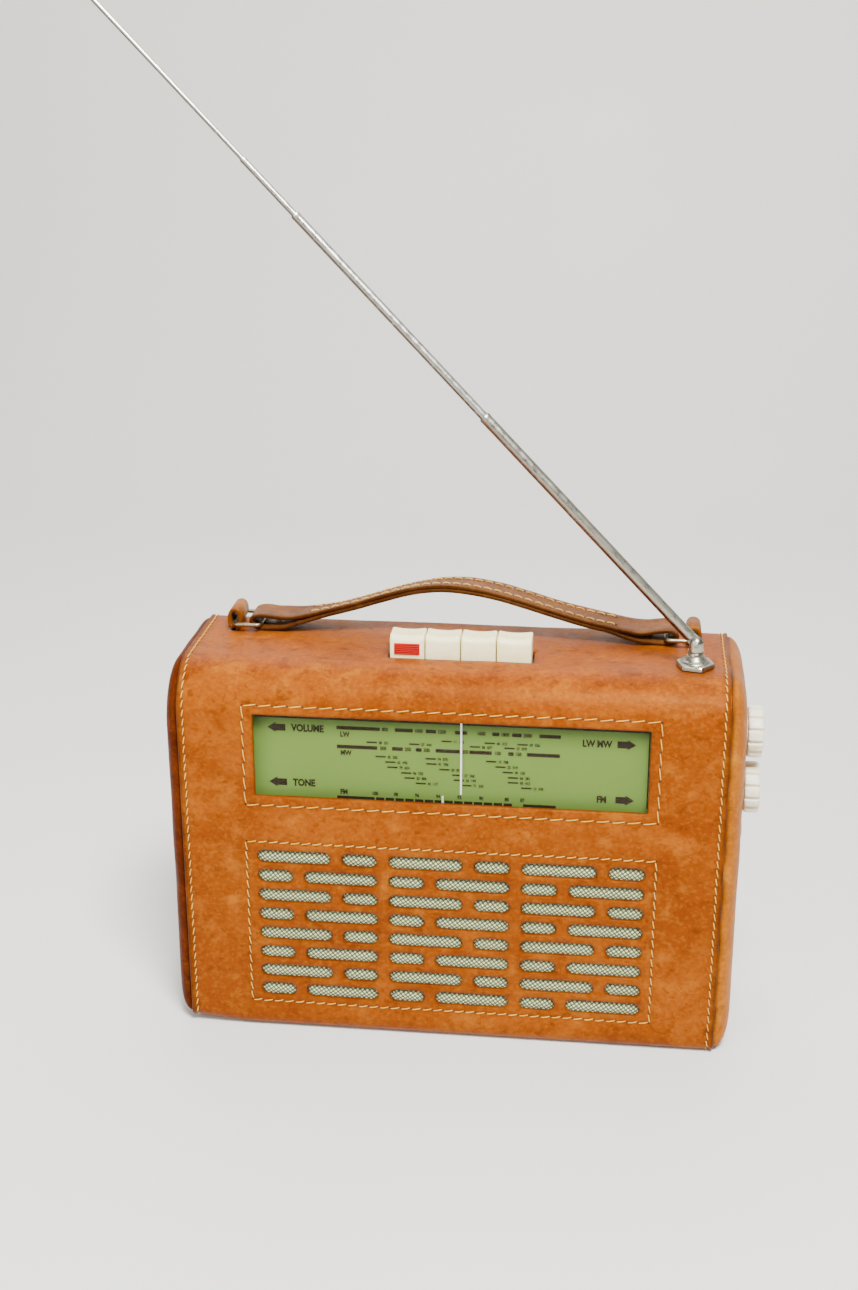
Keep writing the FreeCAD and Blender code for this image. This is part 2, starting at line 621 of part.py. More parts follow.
def knob(side, height):
    """A fluted knob on a straight shaft; it is drawn facing +X and turned round for the left end."""
    body = new_body()
    face = new_sketch(body, "YZ_Plane")
    disc(face, "0", "0", "knob_radius")
    pad(body, face, "knob_far - knob_near")
    flute = new_sketch(body, "YZ_Plane", "knob_far - knob_near + 1")
    disc(flute, "0", "knob_radius + flute_radius - 0.9", "flute_radius")
    first = pocket(body, flute, "knob_far")
    flutes = body.newObject("PartDesign::PolarPattern", "Flutes")
    flutes.Originals = [first]
    flutes.Axis = (origin_item(body, "X_Axis"), [""])
    bind(flutes, Occurrences="flute_count")
    body.Tip = flutes
    socket = new_sketch(body, "YZ_Plane", "6")
    disc(socket, "0", "0", "shaft_radius")
    pocket(body, socket, "10")
    inner_end = "pot_end + 2" if side < 0 else "pot_end + 4"
    shaft = rod("X", "shaft_radius", f"{inner_end} - knob_near", "6", "0", "0")
    pair = group(body, shaft)
    return place(pair, f"{side} * knob_near", KNOB_DEPTH[side], height, turn=(0, 0, 1, 90 - 90 * side))


def potentiometer(height):
    """A round control with its threaded bush through the left cheek."""
    can = rod("X", "pot_radius", "-cheek_inner", "-pot_end", "control_depth", height)
    bush = rod("X", "bush_radius", "-bush_end", "-cheek_inner", "control_depth", height)
    nut = rod("X", "bush_nut_radius", "-cheek_outer - bush_nut_thick", "-cheek_outer",
              "control_depth", height)
    return cut(join(can, bush, nut), rod("X", "shaft_radius + running_gap", "-bush_end - 1",
                                         "-pot_end - 1.5", "control_depth", height))


def tuning_bushes():
    """Two flanged bushes that carry the tuning spindles in the right cheek."""
    bushes = []
    for height in ("upper_knob", "lower_knob"):
        sleeve = rod("X", "bush_radius", "cheek_inner - 4", "bush_end", "tuning_depth", height)
        flange = rod("X", "bush_nut_radius", "cheek_outer", "cheek_outer + bush_nut_thick",
                     "tuning_depth", height)
        bushes.append(cut(join(sleeve, flange), rod("X", "shaft_radius + running_gap",
                                                    "cheek_inner - 5", "bush_end + 1",
                                                    "tuning_depth", height)))
    return group(*bushes)


def knob_washers():
    washers = []
    for side in (-1, 1):
        for height in ("upper_knob", "lower_knob"):
            faces = sorted((f"{side} * {PANEL_FACE}", f"{side} * (knob_near - 0.3)"), key=value)
            washers.append(tube("X", "9", "shaft_radius + 0.4", *faces, KNOB_DEPTH[side], height))
    return group(*washers)


for name, side, height in (("volume_knob", -1, "upper_knob"), ("tone_knob", -1, "lower_knob"),
                           ("am_knob", 1, "upper_knob"), ("fm_knob", 1, "lower_knob")):
    subpart(name, knob(side, height))
subpart("control_pots", group(potentiometer("upper_knob"), potentiometer("lower_knob")))
subpart("tuning_bushes", tuning_bushes())
subpart("knob_washers", knob_washers())


# ---------------------------------------------------------------- piano keys and their switch

def key(index):
    """A cream cap with a dished top and a rolled front edge, on its steel slider."""
    body = new_body()
    side_view = new_sketch(body, "YZ_Plane")
    rounded_outline(side_view, "key_front", "key_back", "key_low", "key_high", ["0.5", "0.5", "1.5", "3"])
    pad(body, side_view, "key_width", both_ways=True)
    dish = new_sketch(body, "XZ_Plane")
    dish_radius = "(key_width * key_width / (8 * key_dish) + key_dish / 2)"
    disc(dish, "0", f"key_high - key_dish + {dish_radius}", dish_radius)
    pocket(body, dish, "case_depth", both_ways=True)
    slider = box("-3", "3", "slider_front", "slider_front + 1.2", "slider_low", "key_low")
    return place(group(body, slider), f"key_centre + {index - 1.5} * key_pitch", "0", "0")


def key_marker():
    """A red ribbed plate low on the first key's front."""
    centre = "key_centre - 1.5 * key_pitch"
    sides = (f"{centre} - marker_half", f"{centre} + marker_half")
    plate = box(*sides, "key_front - 0.3", "key_front", "marker_low", "marker_low + 6")
    ribs = [box(*sides, "key_front - 0.6", "key_front - 0.3", f"marker_low + {1.2 * rib}",
                f"marker_low + {1.2 * rib} + 0.7") for rib in range(5)]
    return join(plate, *ribs)


def key_switch():
    """The push-button switch: a channel under the keys, with slots that the sliders pass through."""
    left = "key_centre - 2 * key_pitch"
    right = "key_centre + 2 * key_pitch"
    outer = box(left, right, "slider_front - 5", "slider_front + 6", "slider_low - 2", "cheek_high + 1")
    inner = box(f"{left} + 1", f"{right} - 1", "slider_front - 4", "slider_front + 5",
                "slider_low - 10", "cheek_high")
    slots = []
    for index in range(4):
        centre = f"key_centre + {index - 1.5} * key_pitch"
        slots.append(box(f"{centre} - 3.4", f"{centre} + 3.4", "slider_front - 0.4", "slider_front + 1.6",
                         "cheek_high - 6", "cheek_high + 4"))
    bracket = box(left, right, "slider_front + 6", "cheek_back", "slider_low", "slider_low + 1.5")
    return join(cut(outer, inner, *slots), bracket)


for index in range(4):
    subpart(f"key_{index + 1}", key(index))
subpart("key_marker", key_marker())
subpart("key_switch", key_switch())


# ---------------------------------------------------------------- earphone socket and batteries

def earphone_socket():
    """A bushed socket: a round nut outside the right panel, a bore and a contact chamber behind it."""
    mouth = f"({PANEL_FACE} + jack_nut_thick)"
    bore_end = f"({mouth} - jack_length)"
    barrel = rod("X", "jack_barrel", "122", PANEL_FACE, "jack_depth", "jack_up")
    nut = rod("X", "jack_nut_radius", PANEL_FACE, mouth, "jack_depth", "jack_up")
    block = box("120", ROOM_END, "jack_depth - 6", "jack_depth + 6", "jack_up - 6", "jack_up + 4")
    bore = rod("X", "jack_radius", bore_end, f"{mouth} + 1", "jack_depth", "jack_up")
    chamber = rod("X", "jack_chamber", f"{bore_end} - 6", bore_end, "jack_depth", "jack_up")
    return cut(join(barrel, nut, block), bore, chamber)


def battery_holder():
    """An open-backed tray with a shelf between its two rows of cells."""
    floor = WALLED
    shell = box("-bay_half", "bay_half", "bay_front", "bay_back", floor, f"{floor} + 71")
    rows = [box("2 - bay_half", "bay_half - 2", "bay_front + 1.5", "bay_back + 1",
                f"{floor} + {low}", f"{floor} + {low} + 33.4") for low in (1.5, 36.1)]
    return cut(shell, *rows)


def battery_cells():
    cells = []
    for low in (1.5, 36.1):
        height = f"{WALLED} + {low} + cell_radius + 0.1"
        for index in range(3):
            start = f"({index} - 1.5) * (cell_length + 0.2) + 0.1"
            can = rod("X", "cell_radius", start, f"{start} + cell_length - 1.8", "bay_front + 1.6 + cell_radius", height)
            nub = rod("X", "4.5", f"{start} + cell_length - 1.8", f"{start} + cell_length",
                      "bay_front + 1.6 + cell_radius", height)
            cells.append(join(can, nub))
    return group(*cells)


def battery_contacts():
    """A coned spring at one end of each row and a leaf at the other."""
    contacts = []
    cells_end = "1.5 * (cell_length + 0.2) + 0.1"
    for low in (1.5, 36.1):
        height = f"{WALLED} + {low} + cell_radius + 0.1"
        depth = "bay_front + 1.6 + cell_radius"
        contacts.append(taper("X", "9", "4", "2 - bay_half", f"0.2 - ({cells_end})", depth, height))
        contacts.append(rod("X", "6", cells_end, "bay_half - 2", depth, height))
    return group(*contacts)


subpart("earphone_socket", earphone_socket())
subpart("battery_holder", battery_holder())
subpart("battery_cells", battery_cells())
subpart("battery_contacts", battery_contacts())


# ---------------------------------------------------------------- telescopic antenna

def hex_nut():
    nut = doc.addObject("Part::Prism", "hexagon")
    nut.Polygon = 6
    bind(nut, Circumradius="nut_flats / sqrt(3)", Height="nut_tall")
    return cut(place(nut, "mast_across", "mast_depth", "case_height"),
               rod("Z", "mast_hole - 0.1", "case_height - 1", "case_height + nut_tall + 1",
                   "mast_across", "mast_depth"))


def ferrule():
    """A flared collar over the nut, with the bush that goes down through the case."""
    bush = rod("Z", "mast_hole - 0.1", "194", "case_height + nut_tall", "mast_across", "mast_depth")
    flare = taper("Z", "8", "4.6", "case_height + nut_tall", "pin_height - 5.6", "mast_across", "mast_depth")
    washer = rod("Z", "8", "195.5", f"case_height - {WALLED}", "mast_across", "mast_depth + 1")
    bore = rod("Z", "spindle_radius + running_gap", "190", "212", "mast_across", "mast_depth")
    return cut(join(bush, flare, washer), bore)


def antenna_stem():
    """A spindle and a fork whose two ears carry the knuckle pin."""
    spindle = rod("Z", "spindle_radius", "193", "pin_height - 5.4", "mast_across", "mast_depth")
    post = rod("Z", "spindle_radius + 1", "pin_height - 5.4", "pin_height - 3.4", "mast_across", "mast_depth")
    ears = []
    for side in (-1, 1):
        faces = sorted((f"mast_depth + {side} * ear_inner", f"mast_depth + {side} * ear_radius"), key=value)
        ears.append(rod("Y", "ear_radius", *faces, "mast_across", "pin_height"))
        ears.append(box("mast_across - ear_radius + 0.2", "mast_across + ear_radius - 0.2", *faces,
                        "pin_height - 3.9", "pin_height"))
    pin = rod("Y", "pin_radius", "mast_depth - ear_radius - 0.4", "mast_depth + ear_radius + 0.4",
              "mast_across", "pin_height")
    return join(spindle, post, *ears, pin)


def along_mast(item):
    """Lays a piece that is drawn up the Z axis from the knuckle pin along the tilted mast."""
    place(item, "mast_across", "mast_depth", "pin_height", turn=(0, 1, 0, -45))
    item.setExpression("Placement.Rotation.Angle", sized("mast_tilt"))
    item.setExpression("Placement.Rotation.Axis.y", "-1")
    return item


def mast_tube(outer, start, end, mouth):
    """A thin tube, plugged at its lower end and crimped to its mouth radius at the top."""
    wall = rod("Z", outer, start, end, "0", "0")
    hollow = rod("Z", f"{outer} - 0.38", f"{start} + 3", f"{end} - 1.5", "0", "0")
    return cut(wall, hollow, rod("Z", mouth, f"{end} - 2", f"{end} + 1", "0", "0"))


def first_tube():
    """The widest tube, with a flat tongue that turns on the pin between the fork's ears."""
    tongue = join(rod("Y", "ear_radius - 0.3", "-tongue_half", "tongue_half", "0", "0"),
                  box("0.25 - tube_one", "tube_one - 0.25", "-tongue_half", "tongue_half", "0", "5"))
    tube_body = mast_tube("tube_one", "3.9", "end_one", "tube_two + running_gap")
    return cut(join(tongue, tube_body),
               rod("Y", "pin_radius + running_gap", "-tongue_half - 1", "tongue_half + 1", "0", "0"))


def sliding_tube(outer, start, end, mouth, collar):
    """A tube with a collar at its foot that runs in the one below."""
    return join(mast_tube(outer, start, end, mouth), rod("Z", collar, start, f"{start} + 2", "0", "0"))


subpart("antenna_nut", hex_nut())
subpart("antenna_ferrule", ferrule())
subpart("antenna_stem", antenna_stem())
subpart("antenna_tube_1", along_mast(first_tube()))
subpart("antenna_tube_2", along_mast(sliding_tube("tube_two", "end_one - 12.5", "end_two",
                                                  "tube_three + running_gap", "tube_one - 0.43")))
subpart("antenna_tube_3", along_mast(sliding_tube("tube_three", "end_three - 132", "end_three",
                                                  "rod_four + running_gap", "tube_two - 0.43")))
subpart("antenna_tube_4", along_mast(join(rod("Z", "rod_four", "end_four - 128", "end_four", "0", "0"),
                                          rod("Z", "1.2", "end_four - 128", "end_four - 126", "0", "0"))))
subpart("antenna_tip", along_mast(join(rod("Z", "2.2", "end_four", "end_four + tip_length - 2", "0", "0"),
                                       ball("2.2", "0", "0", "end_four + tip_length - 2.2"))))


# ---------------------------------------------------------------- handle

ARCH_LOW = "(strap_top - arch_radius)"


def arc_slab(radius, centre_x, centre_z, start, sweep):
    """A slab of the strap's thickness along an arc, from a start angle counted from +X towards +Z."""
    sectors = []
    for side in (1, -1):
        sector = doc.addObject("Part::Cylinder", "sector")
        bind(sector, Radius=f"{radius} + {side} * strap_thick / 2", Height="strap_high - strap_low",
             Angle=sweep)
        sector.Placement.Rotation = (FreeCAD.Rotation(Vector(0, 1, 0), -value(start))
                                     * FreeCAD.Rotation(Vector(1, 0, 0), 90))
        place_formulas = (("x", centre_x), ("y", "strap_high"), ("z", centre_z))
        for axis, formula in place_formulas:
            sector.setExpression("Placement.Base." + axis, sized(formula))
        sectors.append(sector)
    return cut(sectors[0], sectors[1])


def handle_strap():
    """An arch between two upward curls, with a long eye at each end for its ring."""
    reach = "((arch_radius + curl_radius) * sin(arch_angle))"
    curl_up = f"({ARCH_LOW} + (arch_radius + curl_radius) * cos(arch_angle))"
    pieces = [arc_slab("arch_radius", "strap_centre", ARCH_LOW, "90 - arch_angle", "2 * arch_angle")]
    holes = []
    for side, curl_end in ((-1, 9), (1, 19)):
        centre_x = f"strap_centre + {side} * {reach}"
        start = f"270 - {curl_end}" if side < 0 else "270 - arch_angle"
        pieces.append(arc_slab("curl_radius", centre_x, curl_up, start, f"arch_angle + {curl_end}"))
        spots = [f"{side} * ring_inner", f"{side} * (ring_inner + 3)"]
        for radius, store in (("3.4", pieces), ("1.65", holes)):
            for spot_x in spots:
                store.append(rod("Y", radius, "strap_low", "strap_high", spot_x, "ring_height"))
            faces = sorted(spots, key=value)
            store.append(box(*faces, "strap_low", "strap_high",
                             f"ring_height - {radius}", f"ring_height + {radius}"))
        holes.append(rod("Z", "1.2", "200", "220", f"{side} * (ring_inner - 8)", "(strap_low + strap_high) / 2"))
    return cut(join(*pieces), *holes)


def handle_rivets():
    rivets = []
    for side in (-1, 1):
        across = f"{side} * (ring_inner - 8)"
        middle = "(strap_low + strap_high) / 2"
        rivets.append(join(rod("Z", "1.2", "204.2", "210.6", across, middle),
                           rod("Z", "2.8", "204", "205.2", across, middle)))
    return group(*rivets)


def handle_ring(side):
    """A rectangular wire ring with rounded corners."""
    near, far = "strap_low - 1.3", "strap_high + 1.3"
    outer, inner = f"{side} * ring_outer", f"{side} * ring_inner"
    bars = [rod("Y", "ring_wire", near, far, across, "ring_height") for across in (outer, inner)]
    ends = sorted((outer, inner), key=value)
    bars += [rod("X", "ring_wire", *ends, depth, "ring_height") for depth in (near, far)]
    corners = [ball("ring_wire", across, depth, "ring_height") for across in ends for depth in (near, far)]
    return join(*bars, *corners)


def handle_tabs():
    """Two rolled leather loops that hold the rings, each with a tail through its slit in the case."""
    tabs = []
    low, high = "case_height + 3.65", "case_height + 9.9"
    near, far = "strap_low + 1", "strap_high - 1"
    for side in (-1, 1):
        across = f"{side} * ring_outer"
        loops = []
        for radius in ("3.65", "1.75"):
            loops.append(join(rod("Y", radius, near, far, across, low), rod("Y", radius, near, far, across, high),
                              box(f"{across} - {radius}", f"{across} + {radius}", near, far, low, high)))
        tail = box(f"{across} - 1.7", f"{across} + 1.7", near, far, f"case_height - {LINED}", "case_height + 0.5")
        tabs.append(join(cut(*loops), tail))
    return group(*tabs)


subpart("handle_strap", handle_strap())
subpart("handle_rivets", handle_rivets())
subpart("ring_left", handle_ring(-1))
subpart("ring_right", handle_ring(1))
subpart("handle_tabs", handle_tabs())


# ---------------------------------------------------------------- rear flap

def rear_flap():
    """A leather door sewn along its top edge, with a hole over each stud."""
    body = new_body()
    outline = new_sketch(body, "XZ_Plane", f"-{FLAP_FACE}")
    rounded_outline(outline, "-flap_half", "flap_half", "flap_low", "flap_high", ["12", "12", "1", "1"])
    pad(body, outline, "leather")
    holes = new_sketch(body, "XZ_Plane", "-case_depth / 2")
    for side in (-1, 1):
        disc(holes, f"{side} * stud_across", "stud_up", "2.6", "Left" if side < 0 else "Right")
    pocket(body, holes, "leather * 2")
    return body


def flap_studs():
    """The press studs' caps on the flap."""
    caps = []
    for side in (-1, 1):
        across = f"{side} * stud_across"
        caps.append(cut(rod("Y", "5.5", FLAP_FACE, f"{FLAP_FACE} + 2", across, "stud_up"),
                        rod("Y", "3", FLAP_FACE, f"{FLAP_FACE} + 0.8", across, "stud_up")))
    return group(*caps)


def stud_posts():
    """The press studs' posts, riveted through the strip below the hatch."""
    posts = []
    for side in (-1, 1):
        across = f"{side} * stud_across"
        posts.append(rod("Y", "1.9", BACK, f"{FLAP_FACE} - 0.4", across, "stud_up"))
    return group(*posts)


def flap_welt():
    """The sewn edge that the flap hangs from."""
    return box("-flap_half", "flap_half", BACK, FLAP_FACE, "flap_high + hinge_gap", "case_height - back_radius")


subpart("rear_flap", rear_flap())
subpart("flap_studs", flap_studs())
subpart("stud_posts", stud_posts())
subpart("flap_welt", flap_welt())


# ---------------------------------------------------------------- checks and export

def check_document():
    doc.recompute()
    for item in doc.Objects:
        if any(word in state for state in item.State for word in ("Invalid", "Error")):
            raise RuntimeError(f"{item.Label} ({item.Name}) failed: {item.State}")
    for item in doc.Objects:
        if item.TypeId == "PartDesign::Pocket" and item.Shape.Volume >= item.BaseFeature.Shape.Volume:
            raise RuntimeError(f"{item.Name} cuts nothing")
    for item in SUBPARTS:
        if item.Shape.isNull() or not item.Shape.isValid() or not item.Shape.Solids:
            raise RuntimeError(f"{item.Label} has no valid shape")


def export_parts():
    os.makedirs("parts", exist_ok=True)
    for item in SUBPARTS:
        item.Shape.exportStep(f"parts/{item.Label}.step")


check_document()
export_parts()
print(len(SUBPARTS), "sub-parts")
for item in SUBPARTS:
    extent = item.Shape.BoundBox
    print(f"{item.Label:18s} solids {len(item.Shape.Solids):3d} volume {item.Shape.Volume:10.1f}  "
          f"X {extent.XMin:7.1f} {extent.XMax:7.1f}  Y {extent.YMin:6.1f} {extent.YMax:6.1f}  "
          f"Z {extent.ZMin:6.1f} {extent.ZMax:6.1f}")
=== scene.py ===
import json
import math
import random

import bmesh
import bpy
from mathutils import Matrix, Vector, noise
from mathutils.geometry import delaunay_2d_cdt


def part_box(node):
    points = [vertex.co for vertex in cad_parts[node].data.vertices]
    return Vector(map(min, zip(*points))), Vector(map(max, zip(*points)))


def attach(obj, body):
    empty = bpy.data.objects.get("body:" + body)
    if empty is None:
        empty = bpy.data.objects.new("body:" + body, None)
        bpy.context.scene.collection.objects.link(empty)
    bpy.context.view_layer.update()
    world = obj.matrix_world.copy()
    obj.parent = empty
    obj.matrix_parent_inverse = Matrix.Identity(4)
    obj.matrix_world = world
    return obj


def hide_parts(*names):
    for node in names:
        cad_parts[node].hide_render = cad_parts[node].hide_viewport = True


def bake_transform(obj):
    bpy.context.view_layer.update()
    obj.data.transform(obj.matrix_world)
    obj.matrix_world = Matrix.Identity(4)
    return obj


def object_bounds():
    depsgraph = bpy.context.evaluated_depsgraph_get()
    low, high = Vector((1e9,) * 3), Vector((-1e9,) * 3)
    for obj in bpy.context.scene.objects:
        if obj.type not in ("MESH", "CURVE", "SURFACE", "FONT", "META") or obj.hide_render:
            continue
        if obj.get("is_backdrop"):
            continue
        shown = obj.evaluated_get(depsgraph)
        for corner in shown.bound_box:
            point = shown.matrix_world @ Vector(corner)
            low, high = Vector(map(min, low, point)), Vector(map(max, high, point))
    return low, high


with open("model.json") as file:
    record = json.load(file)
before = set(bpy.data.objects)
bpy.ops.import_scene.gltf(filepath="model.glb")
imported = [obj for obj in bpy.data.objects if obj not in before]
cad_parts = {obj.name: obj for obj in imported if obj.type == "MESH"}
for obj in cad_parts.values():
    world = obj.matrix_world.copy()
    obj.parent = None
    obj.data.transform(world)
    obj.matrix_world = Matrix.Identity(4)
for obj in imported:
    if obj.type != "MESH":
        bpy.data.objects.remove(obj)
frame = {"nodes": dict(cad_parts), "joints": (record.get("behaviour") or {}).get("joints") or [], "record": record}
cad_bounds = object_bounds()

# Shapes are worked out in millimetres in the part's frame and built in metres.
MM = 0.001
TAU = 2 * math.pi
QUARTER = math.pi / 2


# ---------------------------------------------------------------- places read from the frame

def box_mm(node):
    low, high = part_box(node)
    return [c / MM for c in low], [c / MM for c in high]


def middle(node):
    low, high = box_mm(node)
    return [(a + b) / 2 for a, b in zip(low, high)]


HALF_X, HALF_Y, TOP = box_mm("leather_wrap")[1]
FRONT_R, BACK_R, BASE_R = 24.0, 9.0, 6.0
LEATHER = 2.5
SEAM_X = HALF_X - 3.0

DIAL = dict(x0=-99.25, x1=99.25, z0=135.0, z1=179.5)
DIAL_STITCH = dict(x0=-104.4, x1=104.4, z0=130.0, z1=184.6)
GRILLE_STITCH = dict(x0=-104.7, x1=104.7, z0=15.8, z1=109.3)
SLOT_TALL, SLOT_PITCH, SLOT_TOP = 7.3, 11.12, 100.75
SLOT_LONG, SLOT_SHORT, SLOT_GAP = 38.0, 18.2, 5.9
GROUP_LEFT, GROUP_PITCH = -99.25, 68.2
HATCH = dict(x0=-110.0, x1=110.0, z0=24.0, z1=176.0)


def clamp(t, low=0.0, high=1.0):
    return max(low, min(high, t))


def smooth(t):
    t = clamp(t)
    return t * t * (3 - 2 * t)


def bell(distance, width):
    return math.exp(-(distance / width) ** 2)


# ---------------------------------------------------------------- the case's section

def case_section(inset_side=0.0, inset_top=0.0, radii=(FRONT_R, BACK_R, BASE_R)):
    """Spans of the rounded section in Y and Z, from the middle of the base round by the front."""
    y0, y1 = -HALF_Y + inset_side, HALF_Y - inset_side
    z0, z1 = inset_top, TOP - inset_top
    front, back, base = radii
    return [("line", (0.0, z0), (y0 + base, z0)),
            ("arc", (y0 + base, z0 + base), base, -QUARTER, -QUARTER),
            ("line", (y0, z0 + base), (y0, z1 - front)),
            ("arc", (y0 + front, z1 - front), front, math.pi, -QUARTER),
            ("line", (y0 + front, z1), (y1 - back, z1)),
            ("arc", (y1 - back, z1 - back), back, QUARTER, -QUARTER),
            ("line", (y1, z1 - back), (y1, z0 + base)),
            ("arc", (y1 - base, z0 + base), base, 0.0, -QUARTER),
            ("line", (y1 - base, z0), (0.0, z0))]


def span_length(span):
    if span[0] == "line":
        return math.dist(span[1], span[2])
    return span[2] * abs(span[4])


def section_point(spans, u):
    """Place (y, z) and outward normal at a distance u round the section."""
    for span in spans:
        length = span_length(span)
        if u <= length + 1e-9 or span is spans[-1]:
            t = clamp(u / length) if length else 0.0
            if span[0] == "line":
                (ya, za), (yb, zb) = span[1], span[2]
                ty, tz = (yb - ya) / length, (zb - za) / length
                return ya + (yb - ya) * t, za + (zb - za) * t, -tz, ty
            (yc, zc), radius, start, sweep = span[1:]
            angle = start + sweep * t
            return (yc + radius * math.cos(angle), zc + radius * math.sin(angle),
                    math.cos(angle), math.sin(angle))
        u -= length
    raise ValueError("no such place on the section")


SECTION = case_section()
ROUND = sum(span_length(span) for span in SECTION)
U_FRONT = HALF_Y - BASE_R + QUARTER * BASE_R - BASE_R
U_CROWN = U_FRONT + TOP - FRONT_R + QUARTER * FRONT_R
U_BACK = U_CROWN + 2 * HALF_Y - FRONT_R - BACK_R + QUARTER * BACK_R


def u_front(z):
    return U_FRONT + z


def u_top(y):
    return U_CROWN + y + HALF_Y - FRONT_R


def u_back(z):
    return U_BACK + TOP - BACK_R - z


def corner_lift(x, z):
    """The left bottom corner of the leather has curled up a little with use."""
    return 2.4 * smooth((-x - 104) / 34) * (1 - smooth(z / 45))


def on_wrap(u, x, height=0.0):
    y, z, ny, nz = section_point(SECTION, u % ROUND)
    return Vector((x, y + ny * height, z + nz * height + corner_lift(x, z)))


# ---------------------------------------------------------------- mesh helpers

def finish_object(name, mesh, material, smooth_degrees=40):
    mesh.validate()
    mesh.materials.append(material)
    mesh.polygons.foreach_set("use_smooth", [True] * len(mesh.polygons))
    mesh.set_sharp_from_angle(angle=math.radians(smooth_degrees))
    piece = bpy.data.objects.new(name, mesh)
    bpy.context.collection.objects.link(piece)
    return piece


def new_mesh(name, points, faces):
    """A mesh from points in millimetres."""
    mesh = bpy.data.meshes.new(name)
    mesh.from_pydata([tuple(c * MM for c in point) for point in points], [], faces)
    return mesh


def turn_outward(mesh, weld=False):
    """Makes every face look outward, after joining double points where asked."""
    work = bmesh.new()
    work.from_mesh(mesh)
    if weld:
        bmesh.ops.remove_doubles(work, verts=work.verts, dist=1e-6)
        loose = [v for v in work.verts if not v.link_faces]
        bmesh.ops.delete(work, geom=loose, context="VERTS")
    bmesh.ops.recalc_face_normals(work, faces=work.faces)
    work.to_mesh(mesh)
    work.free()


def paint_shade(mesh, values):
    """How dark each point is from grime and painted shade, from 0 to 1, for the materials to read."""
    mesh.attributes.new("shade", "FLOAT", "POINT").data.foreach_set("value", values)


class Builder:
    """Collects the points and faces of a piece that is made of many small closed shapes."""

    def __init__(self):
        self.points = []
        self.faces = []

    def rings(self, rings, closed=False, caps=True):
        """Skins a list of equal rings of points."""
        start = len(self.points)
        count = len(rings[0])
        for ring in rings:
            self.points += ring
        steps = len(rings) if closed else len(rings) - 1
        for r in range(steps):
            a, b = start + r * count, start + (r + 1) % len(rings) * count
            for i in range(count):
                j = (i + 1) % count
                self.faces.append((a + i, a + j, b + j, b + i))
        if caps and not closed:
            self.faces.append(tuple(start + i for i in reversed(range(count))))
            end = start + (len(rings) - 1) * count
            self.faces.append(tuple(end + i for i in range(count)))

    def tube(self, path, radius, sides=8, closed=False, flat=1.0, up=None):
        """A round or flattened tube along a path; the radius may be a list."""
        radii = radius if isinstance(radius, (list, tuple)) else [radius] * len(path)
        rings = []
        side = None
        for i, point in enumerate(path):
            if closed:
                ahead, behind = path[(i + 1) % len(path)], path[i - 1]
            else:
                ahead, behind = path[min(i + 1, len(path) - 1)], path[max(i - 1, 0)]
            along = (ahead - behind).normalized()
            if up is not None:
                side = along.cross(up).normalized()
            elif side is None:
                side = along.orthogonal().normalized()
            else:
                side = (side - along * side.dot(along)).normalized()
            lift = side.cross(along)
            rings.append([point + side * (radii[i] * math.cos(k * TAU / sides))
                          + lift * (radii[i] * flat * math.sin(k * TAU / sides)) for k in range(sides)])
        self.rings(rings, closed)

    def lathe(self, profile, origin, axis, sides=48, radius_at=None):
        """Turns (radius, distance) pairs about an axis; a zero radius closes to a point."""
        axis = Vector(axis).normalized()
        side = axis.orthogonal().normalized()
        other = axis.cross(side)
        origin = Vector(origin)
        rings = []
        for radius, along in profile:
            ring = []
            for k in range(sides):
                angle = k * TAU / sides
                reach = max(radius, 0.001)
                if radius_at:
                    reach = radius_at(reach, angle)
                ring.append(origin + axis * along + side * (reach * math.cos(angle))
                            + other * (reach * math.sin(angle)))
            rings.append(ring)
        self.rings(rings)

    def slab(self, low, high, bevel=0.0):
        """A block with its edges cut back."""
        x0, y0, z0 = low
        x1, y1, z1 = high
        b = min(bevel, (x1 - x0) / 2.01, (y1 - y0) / 2.01, (z1 - z0) / 2.01)
        rings = []
        for z, inset in ((z0, b), (z0 + b, 0.0), (z1 - b, 0.0), (z1, b)):
            rings.append([Vector(p) for p in (
                (x0 + b + inset, y0 + inset, z), (x1 - b - inset, y0 + inset, z),
                (x1 - inset, y0 + b + inset, z), (x1 - inset, y1 - b - inset, z),
                (x1 - b - inset, y1 - inset, z), (x0 + b + inset, y1 - inset, z),
                (x0 + inset, y1 - b - inset, z), (x0 + inset, y0 + b + inset, z))])
        self.rings(rings)

    def put(self, name, material, body, slot, *replaced, smooth_degrees=40):
        """Makes the piece and lets it ride on its body."""
        mesh = new_mesh(name, self.points, self.faces)
        turn_outward(mesh)
        piece = finish_object(name, mesh, MATERIALS[material], smooth_degrees)
        return place(piece, body, slot, *replaced)


def place(piece, body, slot, *replaced):
    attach(piece, body)
    if replaced:
        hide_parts(*replaced)
    return piece


# ---------------------------------------------------------------- materials

